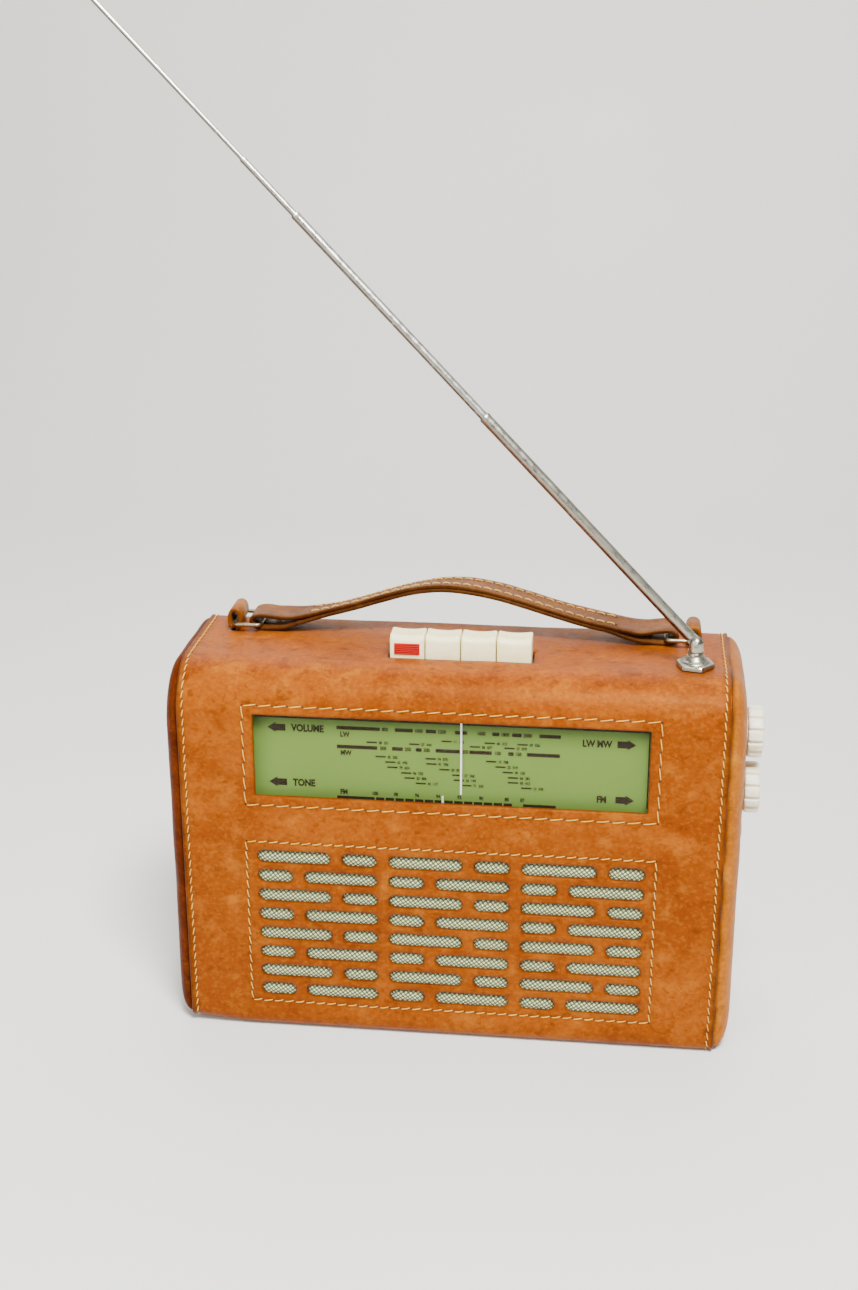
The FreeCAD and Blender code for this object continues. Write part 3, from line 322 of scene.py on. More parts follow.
class Shader:
    """A Principled material with short ways to add and join nodes."""

    def __init__(self, name, **sockets):
        self.material = bpy.data.materials.new(name)
        self.material.use_nodes = True
        self.tree = self.material.node_tree
        self.main = self.tree.nodes["Principled BSDF"]
        self.set(self.main, sockets)
        self.where = self.node("ShaderNodeTexCoord").outputs["Object"]

    def set(self, node, sockets):
        for name, given in sockets.items():
            target = node.inputs[name.replace("_", " ")] if isinstance(name, str) else node.inputs[name]
            if isinstance(given, bpy.types.NodeSocket):
                self.tree.links.new(given, target)
            else:
                target.default_value = given

    def node(self, kind, settings=None, **sockets):
        node = self.tree.nodes.new(kind)
        for name, given in (settings or {}).items():
            setattr(node, name, given)
        self.set(node, sockets)
        return node

    def scaled(self, x, y, z):
        """Object coordinates stretched so that each unit spans the given millimetres."""
        node = self.node("ShaderNodeMapping", Vector=self.where)
        node.inputs["Scale"].default_value = (1000 / x, 1000 / y, 1000 / z)
        return node.outputs[0]

    def cloudy(self, size, detail=4.0, rough=0.55, stretch=(1, 1, 1), warp=0.0):
        node = self.node("ShaderNodeTexNoise", Vector=self.scaled(*[size * s for s in stretch]),
                         Scale=1.0, Detail=detail, Roughness=rough, Distortion=warp)
        return node.outputs["Fac"]

    def cells(self, size, feature="F1", out="Distance"):
        node = self.node("ShaderNodeTexVoronoi", {"feature": feature}, Vector=self.scaled(size, size, size),
                         Scale=1.0)
        return node.outputs[out]

    def math(self, operation, first, second=0.5):
        node = self.node("ShaderNodeMath", {"operation": operation})
        for socket, given in zip(node.inputs, (first, second)):
            if isinstance(given, bpy.types.NodeSocket):
                self.tree.links.new(given, socket)
            else:
                socket.default_value = given
        return node.outputs[0]

    def span(self, fac, low, high, to_low=0.0, to_high=1.0):
        node = self.node("ShaderNodeMapRange", {"interpolation_type": "SMOOTHSTEP"})
        self.tree.links.new(fac, node.inputs["Value"])
        for name, given in (("From Min", low), ("From Max", high), ("To Min", to_low), ("To Max", to_high)):
            node.inputs[name].default_value = given
        return node.outputs[0]

    def mix(self, fac, first, second, blend="MIX"):
        node = self.node("ShaderNodeMix", {"data_type": "RGBA", "blend_type": blend})
        for index, given in ((0, fac), (6, first), (7, second)):
            if isinstance(given, bpy.types.NodeSocket):
                self.tree.links.new(given, node.inputs[index])
            elif index and len(given) == 3:
                node.inputs[index].default_value = (*given, 1)
            else:
                node.inputs[index].default_value = given
        return node.outputs[2]

    def attribute(self, name):
        return self.node("ShaderNodeAttribute", {"attribute_name": name}).outputs["Fac"]

    def axis(self, index):
        return self.node("ShaderNodeSeparateXYZ", Vector=self.where).outputs[index]

    def bump(self, height, distance_mm, strength=1.0, normal=None):
        node = self.node("ShaderNodeBump", Height=height, Strength=strength, Distance=distance_mm * MM)
        if normal is not None:
            self.tree.links.new(normal, node.inputs["Normal"])
        return node.outputs[0]

    def finish(self, colour=None, roughness=None, normal=None):
        for name, given in (("Base Color", colour), ("Roughness", roughness), ("Normal", normal)):
            if given is not None:
                self.set(self.main, {name: given})
        return self.material


def leather(name, deep, mid, pale, stain=0.5, grain=1.0, gloss=0.22):
    """Waxed saddle leather: golden tan mottled with red-brown, with cracks and specks, and dark worn edges and
    painted shade from its shade attribute.
    """
    s = Shader(name, Specular_IOR_Level=gloss, Specular_Tint=(1.0, 0.50, 0.14, 1.0))
    broad = s.cloudy(60, 3, 0.5, (1.5, 1, 1), 0.4)
    patch = s.cloudy(12, 5, 0.6, (1.25, 1, 1), 0.4)
    fine = s.cloudy(1.9, 3, 0.6, (1.2, 1, 1), 0.3)
    blush = s.cloudy(26, 3, 0.55, (1.2, 1, 1), 0.6)
    tone = s.mix(s.span(broad, 0.36, 0.62), s.mix(0.45, deep, mid), mid)
    tone = s.mix(s.span(patch, 0.52, 0.74, 0.0, 0.75), tone, pale)
    tone = s.mix(s.span(patch, 0.30, 0.47, 0.70, 0.0), tone, deep)
    tone = s.mix(s.span(blush, 0.52, 0.66, 0.0, 0.50), tone, deep)
    tone = s.mix(s.span(fine, 0.50, 0.66, 0.0, 0.28), tone, pale)
    tone = s.mix(s.span(fine, 0.34, 0.50, 0.34, 0.0), tone, deep)
    dark = [c * 0.45 for c in deep]
    blot = s.cloudy(5.0, 3, 0.6, (1.3, 1, 1), 0.2)
    tone = s.mix(s.math("MULTIPLY", s.span(blot, 0.56, 0.70), 0.9 * stain), tone, dark)
    edge = s.cells(9.0, "DISTANCE_TO_EDGE")
    vein = s.math("MULTIPLY", s.span(edge, 0.0, 0.03, 1.0, 0.0), s.span(s.cloudy(18, 3), 0.50, 0.60))
    tone = s.mix(s.math("MULTIPLY", vein, 0.8 * stain), tone, dark)
    tone = s.mix(s.span(s.cells(9.0), 0.045, 0.085, 0.8 * stain, 0.0), tone, dark)
    tone = s.mix(s.span(s.cells(26.0), 0.010, 0.020, 0.6, 0.0), tone, [min(1.0, c * 2.4) for c in pale])
    # The shade attribute darkens worn edges and adds painted shade in grooves, creases and round openings
    tone = s.mix(s.attribute("shade"), tone, [c * 0.20 for c in deep])
    pores = s.cells(0.9)
    crease = s.cloudy(6.0, 5, 0.65, (1.6, 1, 1), 0.8)
    height = s.math("ADD", s.math("MULTIPLY", pores, 0.45 * grain),
                    s.math("ADD", s.math("MULTIPLY", s.cloudy(0.45, 2, 0.5), 0.3 * grain), crease))
    rough = s.span(patch, 0.3, 0.7, 0.36, 0.52)
    return s.finish(tone, rough, s.bump(height, 0.14, 0.5))


def thread(name):
    s = Shader(name, Roughness=0.85, Specular_IOR_Level=0.08)
    tone = s.mix(s.cloudy(5, 3, 0.6), (0.48, 0.22, 0.028), (0.80, 0.50, 0.10))
    wave = s.node("ShaderNodeTexWave", {"bands_direction": "DIAGONAL"}, Vector=s.scaled(0.35, 0.35, 0.35),
                  Scale=0.3, Distortion=0.6)
    return s.finish(tone, None, s.bump(wave.outputs["Fac"], 0.1, 0.6))


def plain(name, colour, roughness, metallic=0.0, spread=0.06, size=8.0, bump_mm=0.03, grain=0.6, **more):
    """Metal, plastic or card: a base colour that drifts a little, with fine surface texture."""
    s = Shader(name, Metallic=metallic, **more)
    dark = [c * (1 - spread * 2) for c in colour]
    light = [min(1.0, c * (1 + spread)) for c in colour]
    drift = s.cloudy(size, 4, 0.6)
    rough = s.span(s.cloudy(size * 0.6, 5, 0.6), 0.3, 0.7, roughness * 0.8, min(1.0, roughness * 1.25))
    return s.finish(s.mix(drift, dark, light), rough, s.bump(s.cloudy(grain, 3, 0.5), bump_mm, 0.5))


def nickel_plate(name, tone=(0.38, 0.36, 0.29), roughness=0.27, worn=0.35):
    """Dulled nickel with fine surface marks and brown-grey tarnish in patches."""
    s = Shader(name, Metallic=1.0)
    tarnish = s.span(s.cloudy(4.5, 5, 0.65, (1, 1, 1), 0.6), 0.5, 0.72, 0.0, worn)
    colour = s.mix(tarnish, tone, (0.20, 0.17, 0.12))
    rough = s.span(s.cloudy(3.0, 5, 0.65), 0.3, 0.7, roughness * 0.75, roughness * 1.7)
    return s.finish(colour, rough, s.bump(s.cloudy(2.5, 3, 0.5), 0.02, 0.3))


def mast_metal_painted_light(name, bright, dark):
    """A drawn tube coloured by which way it faces: a painted highlight along its upper side, grey across the
    middle and a painted dark brown reflection underneath.
    """
    s = Shader(name, Metallic=1.0)
    # Painted light: the colour follows the surface's facing, darkest where it faces down, to the left and to the
    # front
    lean = s.node("ShaderNodeVectorMath", {"operation": "DOT_PRODUCT"})
    s.set(lean, {0: s.node("ShaderNodeTexCoord").outputs["Normal"], 1: (-0.672, -0.311, -0.672)})
    under = lean.outputs["Value"]
    grey = [c * 0.50 for c in bright]
    tone = s.mix(s.span(under, -0.95, -0.40), grey, bright)
    tone = s.mix(s.span(under, -0.15, 0.25), tone, grey)
    tone = s.mix(s.span(under, 0.25, 0.75), tone, dark)
    tarnish = s.span(s.cloudy(4.5, 5, 0.65, (1, 1, 1), 0.6), 0.5, 0.72, 0.0, 0.35)
    rough = s.span(s.cloudy(3.0, 5, 0.65), 0.3, 0.7, 0.24, 0.42)
    return s.finish(s.mix(tarnish, tone, grey), rough, s.bump(s.cloudy(2.5, 3, 0.5), 0.02, 0.3))


def aged_plastic(name, colour, stain):
    """Ivory plastic, a little yellowed, with faint grime in patches and streaks."""
    s = Shader(name, Specular_IOR_Level=0.35, Subsurface_Weight=0.08, Subsurface_Scale=0.002)
    s.main.inputs["Subsurface Radius"].default_value = (1.0, 0.6, 0.35)
    tone = s.mix(s.span(s.cloudy(7, 4, 0.6, (1, 1, 0.4)), 0.45, 0.75, 0.0, 0.6), colour, stain)
    streak = s.span(s.cloudy(1.4, 3, 0.6, (1, 1, 9)), 0.55, 0.8, 0.0, 0.25)
    return s.finish(s.mix(streak, tone, stain), s.span(s.cloudy(5, 4), 0.3, 0.7, 0.26, 0.42),
                    s.bump(s.cloudy(0.8, 3, 0.5), 0.025, 0.5))


def woven_cloth(name):
    """Twill-like speaker cloth, pale grey-green threads over dark gaps."""
    s = Shader(name, Roughness=0.85, Sheen_Weight=0.2)
    rise = s.node("ShaderNodeMapping", Vector=s.scaled(1.8, 1.8, 1.8))
    rise.inputs["Rotation"].default_value = (0.0, math.radians(38), 0.0)
    waves = [s.node("ShaderNodeTexWave", {"bands_direction": way}, Vector=rise.outputs[0], Scale=0.314,
                    Distortion=1.2, Detail=1.0).outputs["Fac"] for way in ("X", "Z")]
    weave = s.math("MULTIPLY", *waves)
    flecks = s.cloudy(0.8, 2, 0.5)
    tone = s.mix(s.span(weave, 0.06, 0.52), (0.052, 0.066, 0.020), (0.72, 0.77, 0.42))
    tone = s.mix(s.span(flecks, 0.5, 0.75, 0.0, 0.5), tone, (0.24, 0.27, 0.11))
    # Painted shadow under the slots' top edges, from the shade attribute
    tone = s.mix(s.attribute("shade"), tone, (0.020, 0.016, 0.008))
    return s.finish(tone, None, s.bump(weave, 0.25, 0.8))


def dial_face(name):
    """The pale green enamel of the scale, with painted shade along its upper edge."""
    s = Shader(name, Specular_IOR_Level=0.1)
    tone = s.mix(s.cloudy(30, 3, 0.5), (0.122, 0.205, 0.030), (0.138, 0.228, 0.040))
    # Painted shade below the opening's top edge
    tone = s.mix(s.span(s.axis(2), 0.1705, 0.1765, 0.0, 0.55), tone, (0.020, 0.034, 0.006))
    dust = s.span(s.cells(6.0), 0.05, 0.03, 0.0, 0.5)
    return s.finish(s.mix(dust, tone, (0.1, 0.12, 0.05)), s.span(s.cloudy(5), 0.3, 0.7, 0.4, 0.5),
                    s.bump(s.cloudy(0.7), 0.02, 0.4))


TAN_DEEP, TAN_MID, TAN_PALE = (0.145, 0.022, 0.001), (0.255, 0.056, 0.002), (0.36, 0.108, 0.006)
MATERIALS = {
    "leather_tan": leather("wrap_leather", TAN_DEEP, TAN_MID, TAN_PALE),
    "leather_end_dark": leather("left_panel_leather", (0.055, 0.007, 0.001), (0.110, 0.018, 0.001),
                                (0.19, 0.040, 0.003), gloss=0.03),
    "leather_end_light": leather("right_panel_leather", (0.26, 0.066, 0.003), (0.42, 0.125, 0.006),
                                 (0.54, 0.200, 0.016), 0.35, gloss=0.12),
    "leather_tab": leather("tab_leather", (0.17, 0.042, 0.004), (0.30, 0.092, 0.009),
                           (0.42, 0.160, 0.024), 0.3),
    "leather_strap": leather("strap_leather", (0.080, 0.020, 0.004), (0.155, 0.050, 0.012),
                             (0.28, 0.110, 0.030), 0.4, gloss=0.15),
    "thread": thread("linen_thread"),
    # Painted shade inside the needle holes
    "needle_hole_painted_shade": plain("needle_hole_painted_shade", (0.035, 0.014, 0.006), 0.9),
    "shell_board": plain("shell_board", (0.055, 0.045, 0.035), 0.7, spread=0.15, bump_mm=0.08),
    "cloth": woven_cloth("speaker_cloth"),
    "dial_green": dial_face("dial_enamel"),
    "dial_ink": plain("dial_ink", (0.020, 0.010, 0.004), 0.7, spread=0.1, Specular_IOR_Level=0.1),
    "zinc_steel": plain("zinc_steel", (0.50, 0.50, 0.47), 0.38, 1.0, 0.12, 6.0),
    "needle_white": plain("needle_white", (0.88, 0.87, 0.78), 0.4),
    "cone_paper": plain("cone_paper", (0.03, 0.03, 0.03), 0.9, spread=0.2, bump_mm=0.1),
    "magnet_metal": plain("magnet_metal", (0.12, 0.12, 0.13), 0.45, 0.6, 0.15),
    "board_laminate": plain("board_laminate", (0.26, 0.135, 0.045), 0.5, spread=0.12, size=15.0),
    "can_aluminium": plain("can_aluminium", (0.66, 0.67, 0.68), 0.35, 1.0, 0.1, 5.0),
    "component_body": plain("component_body", (0.30, 0.14, 0.07), 0.4, spread=0.3, size=14.0),
    "ferrite": plain("ferrite", (0.045, 0.045, 0.05), 0.55, spread=0.1),
    "coil_former": plain("coil_former", (0.42, 0.22, 0.08), 0.6, spread=0.2, size=1.0, bump_mm=0.15),
    "black_plastic": plain("black_plastic", (0.022, 0.022, 0.022), 0.45, spread=0.1),
    "brass_part": plain("brass_part", (0.60, 0.42, 0.15), 0.35, 1.0, 0.12, 4.0),
    "drum_plastic": plain("drum_plastic", (0.66, 0.64, 0.55), 0.45, spread=0.05),
    "ivory_plastic": aged_plastic("ivory_plastic", (0.90, 0.84, 0.66), (0.66, 0.53, 0.30)),
    "key_cream": aged_plastic("key_cream", (0.98, 0.89, 0.52), (0.92, 0.74, 0.30)),
    "marker_red": plain("marker_red", (0.42, 0.004, 0.002), 0.45, spread=0.12, Specular_IOR_Level=0.12),
    "nickel": nickel_plate("nickel"),
    "ring_bronze": nickel_plate("ring_bronze", (0.30, 0.25, 0.16), 0.30, 0.6),
    "mast_bright_painted_light": mast_metal_painted_light("mast_bright_painted_light", (0.98, 0.96, 0.88), (0.10, 0.07, 0.045)),
    "mast_dull_painted_light": mast_metal_painted_light("mast_dull_painted_light", (0.66, 0.63, 0.53), (0.12, 0.055, 0.03)),
    "nickel_dull": nickel_plate("nickel_dull", (0.38, 0.35, 0.28), 0.34, 0.65),
    "cell_jacket": plain("cell_jacket", (0.06, 0.09, 0.20), 0.35, spread=0.1, size=20.0),
}


def clear_plastic():
    s = Shader("clear_window", Base_Color=(0.05, 0.06, 0.05, 1), Alpha=0.05, IOR=1.49)
    return s.finish(None, s.span(s.cloudy(9), 0.3, 0.7, 0.03, 0.09), s.bump(s.cloudy(12), 0.01, 0.2))


MATERIALS["clear_acrylic"] = clear_plastic()


# ---------------------------------------------------------------- the leather wrap

def rounded_loop(u0, u1, x0, x1, radius, step):
    """A closed loop of points round a rectangle with rounded corners, in section distance and X."""
    loop = []
    corners = ((u1 - radius, x1 - radius, 0), (u0 + radius, x1 - radius, 1),
               (u0 + radius, x0 + radius, 2), (u1 - radius, x0 + radius, 3))
    arc_steps = max(2, round(radius * QUARTER / step))
    for index, (uc, xc, quarter) in enumerate(corners):
        for k in range(arc_steps + 1):
            angle = (quarter + k / arc_steps) * QUARTER
            loop.append((uc + radius * math.cos(angle), xc + radius * math.sin(angle)))
        after = corners[(index + 1) % 4]
        start_angle = (quarter + 1) * QUARTER
        end = (after[0] + radius * math.cos(start_angle), after[1] + radius * math.sin(start_angle))
        begin = loop[-1]
        count = int(math.dist(begin, end) / step)
        loop += [(begin[0] + (end[0] - begin[0]) * k / (count + 1),
                  begin[1] + (end[1] - begin[1]) * k / (count + 1)) for k in range(1, count + 1)]
    return loop


class Opening:
    """A rounded rectangular hole in a flat sheet, with the distance from its edge."""

    def __init__(self, u0, u1, x0, x1, radius, step=1.5, sunk=0.55, shade=0.45):
        self.box = (min(u0, u1), max(u0, u1), x0, x1)
        self.radius = radius
        self.step = step
        self.sunk = sunk
        # shade is how much painted shade darkens the leather round the hole's edge
        self.shade = shade

    def edge_distance(self, u, x):
        u0, u1, x0, x1 = self.box
        du = abs(u - (u0 + u1) / 2) - ((u1 - u0) / 2 - self.radius)
        dx = abs(x - (x0 + x1) / 2) - ((x1 - x0) / 2 - self.radius)
        return math.hypot(max(du, 0), max(dx, 0)) + min(max(du, dx), 0) - self.radius

    def near(self, u, x, reach):
        u0, u1, x0, x1 = self.box
        return u0 - reach < u < u1 + reach and x0 - reach < x < x1 + reach

    def loop(self, grow):
        u0, u1, x0, x1 = self.box
        return rounded_loop(u0 - grow, u1 + grow, x0 - grow, x1 + grow, self.radius + grow, self.step)


def grille_openings():
    found = []
    for row in range(8):
        z = SLOT_TOP - row * SLOT_PITCH
        widths = (SLOT_LONG, SLOT_SHORT) if row % 2 == 0 else (SLOT_SHORT, SLOT_LONG)
        for group in range(3):
            left = GROUP_LEFT + group * GROUP_PITCH
            for width in widths:
                found.append(Opening(u_front(z - SLOT_TALL / 2), u_front(z + SLOT_TALL / 2), left,
                                     left + width, SLOT_TALL / 2 - 0.02, 1.1, 0.8))
                left += width + SLOT_GAP
    return found


KEY_LOW, KEY_HIGH = box_mm("key_1")[0], box_mm("key_4")[1]
NUT = middle("antenna_nut")
TAB_LOW, TAB_HIGH = box_mm("handle_tabs")
RING_OUTER_X = 120.0


def wrap_openings():
    holes = grille_openings()
    holes.append(Opening(u_front(DIAL["z0"]), u_front(DIAL["z1"]), DIAL["x0"], DIAL["x1"],
                         0.6, 2.0, 0.9, 0.35))
    gap = 0.9
    holes.append(Opening(u_top(KEY_LOW[1] - gap), u_top(KEY_HIGH[1] + gap), KEY_LOW[0] - gap,
                         KEY_HIGH[0] + gap, 0.8, 2.0, 0.5, 0.7))
    stem_hole = 4.5
    holes.append(Opening(u_top(NUT[1] - stem_hole), u_top(NUT[1] + stem_hole), NUT[0] - stem_hole,
                         NUT[0] + stem_hole, 4.4))
    holes.append(Opening(u_back(HATCH["z1"]), u_back(HATCH["z0"]), HATCH["x0"], HATCH["x1"], 3.0, 4.0))
    for side in (-1, 1):
        holes.append(Opening(u_top(TAB_LOW[1]), u_top(TAB_HIGH[1]), side * RING_OUTER_X - 1.8,
                             side * RING_OUTER_X + 1.8, 0.5, 2.0, 0.3, 0.8))
    return holes


OPENINGS = wrap_openings()
STITCHED = [(u_front(r["z0"]), u_front(r["z1"]), r["x0"], r["x1"]) for r in (DIAL_STITCH, GRILLE_STITCH)]


def outline_distance(u, x, rect):
    u0, u1, x0, x1 = rect
    du = abs(u - (u0 + u1) / 2) - (u1 - u0) / 2
    dx = abs(x - (x0 + x1) / 2) - (x1 - x0) / 2
    return abs(math.hypot(max(du, 0), max(dx, 0)) + min(max(du, dx), 0))


def wrap_height(u, x, openings=True):
    """How far the leather stands off its plain section: seams, rolled edges and slow waves."""
    at = on_wrap(u, x)
    height = -0.40 * bell(abs(x) - SEAM_X, 1.3) + 0.35 * smooth((abs(x) - SEAM_X - 0.7) / 1.4)
    height -= 0.45 * smooth((abs(x) - HALF_X + 0.45) / 0.45)
    for rect in STITCHED:
        height -= 0.32 * bell(outline_distance(u, x, rect), 1.3)
    loose = smooth(at.z / 14) * smooth((HALF_X - abs(x)) / 10)
    height += loose * (0.40 * noise.noise(at / 38) + 0.14 * noise.noise(at / 12) - 0.1)
    if openings:
        for hole in OPENINGS:
            if hole.near(u, x, 3.0):
                off = hole.edge_distance(u, x)
                height -= hole.sunk * (1 - smooth((off + 0.05) / 1.3)) ** 2
    return height


def wrap_shade(u, x):
    """Painted shade and dark edges on the wrap: 0 is clean leather, 1 is dark."""
    at = on_wrap(u, x)
    # Dark seam strips and edges, with painted shade in the seam groove
    shade = 0.50 * smooth((abs(x) - SEAM_X - 0.6) / 0.9) + 0.22 * bell(abs(x) - SEAM_X, 1.6)
    shade += 0.40 * smooth((abs(x) - HALF_X + 0.8) / 0.6)
    # Painted shade in the grooves along the stitched outlines
    for rect in STITCHED:
        shade += 0.16 * bell(outline_distance(u, x, rect), 1.6)
    # Darker towards the bottom
    shade += 0.25 * (1 - smooth(at.z / 12))
    # Painted shade round the edges of each opening
    for hole in OPENINGS:
        if hole.near(u, x, 6.0):
            shade += hole.shade * bell(max(hole.edge_distance(u, x), 0), 0.8)
    # Painted shade in a ring round the antenna nut
    shade += 0.35 * bell(math.hypot(at.x - NUT[0], at.y - NUT[1]) - 11, 3.5) * (1 if at.z > TOP - 3 else 0)
    return clamp(shade * (0.8 + 0.5 * noise.noise(at / 9)))


def spread_lines(low, high, step, extra):
    """Grid lines at about the step, with extra ones where detail needs them."""
    count = max(1, round((high - low) / step))
    lines = [low + (high - low) * k / count for k in range(count + 1)]
    wanted = sorted(e for e in extra if low < e < high)
    lines = [v for v in lines if v in (low, high) or all(abs(v - e) > step * 0.3 for e in wanted)]
    return sorted(set(lines + wanted))


def around(value):
    return [value + off for off in (-1.9, -0.8, 0.0, 0.8, 1.9)]


BACK_SHADE = 0.7


def sheet_mesh(name, u_lines, x_lines, openings, place_at, material, thickness, shade_at, clear=1.6):
    """A sheet with holes, triangulated flat, laid on its surface and given its thickness."""
    flat, edges = [], []
    for hole in openings:
        for grow in (0.0, 0.35, 0.95):
            loop = hole.loop(grow)
            start = len(flat)
            flat += loop
            if grow == 0.0:
                edges += [(start + k, start + (k + 1) % len(loop)) for k in range(len(loop))]
    for u in u_lines:
        close = [hole for hole in openings if hole.box[0] - clear < u < hole.box[1] + clear]
        for x in x_lines:
            if all(hole.edge_distance(u, x) > clear for hole in close):
                flat.append((u, x))
    points2, _, faces, *_ = delaunay_2d_cdt([Vector(p) for p in flat], edges, [], 0, 1e-5)
    kept = []
    for face in faces:
        u = sum(points2[i][0] for i in face) / 3
        x = sum(points2[i][1] for i in face) / 3
        if not any(hole.near(u, x, 0) and hole.edge_distance(u, x) < 0 for hole in openings):
            kept.append(tuple(face))
    outer = [place_at(p[0], p[1]) for p in points2]
    inner = [place_at(p[0], p[1], -thickness) for p in points2]
    count = len(outer)
    seen = {pair: True for face in kept for pair in zip(face, face[1:] + face[:1])}
    rims = [(b, a, a + count, b + count) for a, b in seen if (b, a) not in seen]
    back = [tuple(i + count for i in reversed(face)) for face in kept]
    mesh = new_mesh(name, outer + inner, kept + back + rims)
    paint_shade(mesh, [shade_at(p[0], p[1]) for p in points2] + [BACK_SHADE] * count)
    turn_outward(mesh, weld=True)
    return finish_object(name, mesh, material, 55)


def leather_wrap():
    detail = []
    for rect in STITCHED:
        detail += around(rect[0]) + around(rect[1])
    arcs = [(U_FRONT + BASE_R - BASE_R * QUARTER, BASE_R, 5), (u_front(TOP - FRONT_R), FRONT_R, 15),
            (u_top(HALF_Y - BACK_R), BACK_R, 7), (u_back(BASE_R), BASE_R, 5)]
    for start, radius, steps in arcs:
        detail += [start + radius * QUARTER * k / steps for k in range(steps + 1)]
    u_lines = spread_lines(0.0, ROUND, 4.0, detail)
    sides = []
    for side in (-1, 1):
        sides += [side * (SEAM_X + off) for off in (-2.2, -1.0, 0.0, 0.9, 1.8)]
        sides += [side * (HALF_X - off) for off in (0.45, 0.2)]
        sides += around(side * DIAL_STITCH["x1"])
    x_lines = spread_lines(-HALF_X, HALF_X, 4.0, sides)

    def laid(u, x, lift=0.0):
        height = wrap_height(u, x) if lift == 0 else lift
        return on_wrap(u, x, height)

    return sheet_mesh("case_leather", u_lines, x_lines, OPENINGS, laid, MATERIALS["leather_tan"], LEATHER,
                      wrap_shade)


# ---------------------------------------------------------------- stitching

class Sewing:
    """Stitches and their needle holes along lines on a surface."""

    def __init__(self, seed):
        self.threads = Builder()
        self.holes = Builder()
        self.chance = random.Random(seed)

    def run(self, route, length, pitch, surface, slant=0.3, radius=0.42, lift=0.42):
        """route(s) gives flat coordinates; surface(flat, side step, height) gives the place."""
        count = round(length / pitch)
        step = length / count
        for k in range(count):
            wobble = self.chance.uniform(-0.12, 0.12)
            rise = lift * self.chance.uniform(0.85, 1.15)
            path = []
            for t, height in ((0.0, -0.35), (0.10, 0.05), (0.28, 0.82), (0.5, 1.0), (0.72, 0.82),
                              (0.90, 0.05), (1.0, -0.35)):
                s = (k + 0.10 + 0.80 * t) * step
                path.append(surface(route(s), (0.5 - t) * 2 * slant + wobble, height * rise + 0.12))
            thick = radius * self.chance.uniform(0.92, 1.08)
            self.threads.tube(path, [thick * f for f in (0.6, 0.85, 1, 1, 1, 0.85, 0.6)], 6)
        # Dark discs at each needle hole: painted shade inside the holes
        wide = radius * 1.9
        for k in range(count + 1):
            here = route(min(k * step, length))
            low, high = surface(here, 0.0, -0.3), surface(here, 0.0, 0.05)
            self.holes.lathe([(0.0, 0.0), (wide, 0.0), (wide * 0.9, 0.35), (0.0, 0.35)],
                             low, high - low, 10)

    def build(self, name, body):
        self.threads.put(name, "thread", body, "cloth")
        self.holes.put(name + "_holes", "needle_hole_painted_shade", body, "leather_strap")


def straight(start, end):
    length = math.dist(start, end)

    def route(s):
        t = s / length
        ahead = [(b - a) / length for a, b in zip(start, end)]
        return [a + (b - a) * t for a, b in zip(start, end)], ahead

    return route, length


def wrap_surface(here, aside, height):
    (u, x), (du, dx) = here
    u, x = u - dx * aside, x + du * aside
    return on_wrap(u, x, wrap_height(u, x, False) + height)


def wrap_stitching():
    sewing = Sewing(11)
    for side in (-1, 1):
        route, length = straight((0.5, side * SEAM_X), (ROUND - 0.5, side * SEAM_X))
        sewing.run(route, length, 4.95, wrap_surface, 0.42 * side, 0.31, 0.34)
    for rect, pitch in zip(STITCHED, (7.6, 5.6)):
        u0, u1, x0, x1 = rect
        for start, end in (((u1, x0), (u1, x1)), ((u1, x1), (u0, x1)), ((u0, x1), (u0, x0)),
                           ((u0, x0), (u1, x0))):
            route, length = straight(start, end)
            sewing.run(route, length, pitch, wrap_surface, 0.45, 0.31, 0.34)
    sewing.build("case_stitching", "case")


# ---------------------------------------------------------------- moulded end panels

SIDE_SHOULDER, TOP_SHOULDER = 15.0, 17.0
DOME = box_mm("right_end_panel")[1][0] - HALF_X


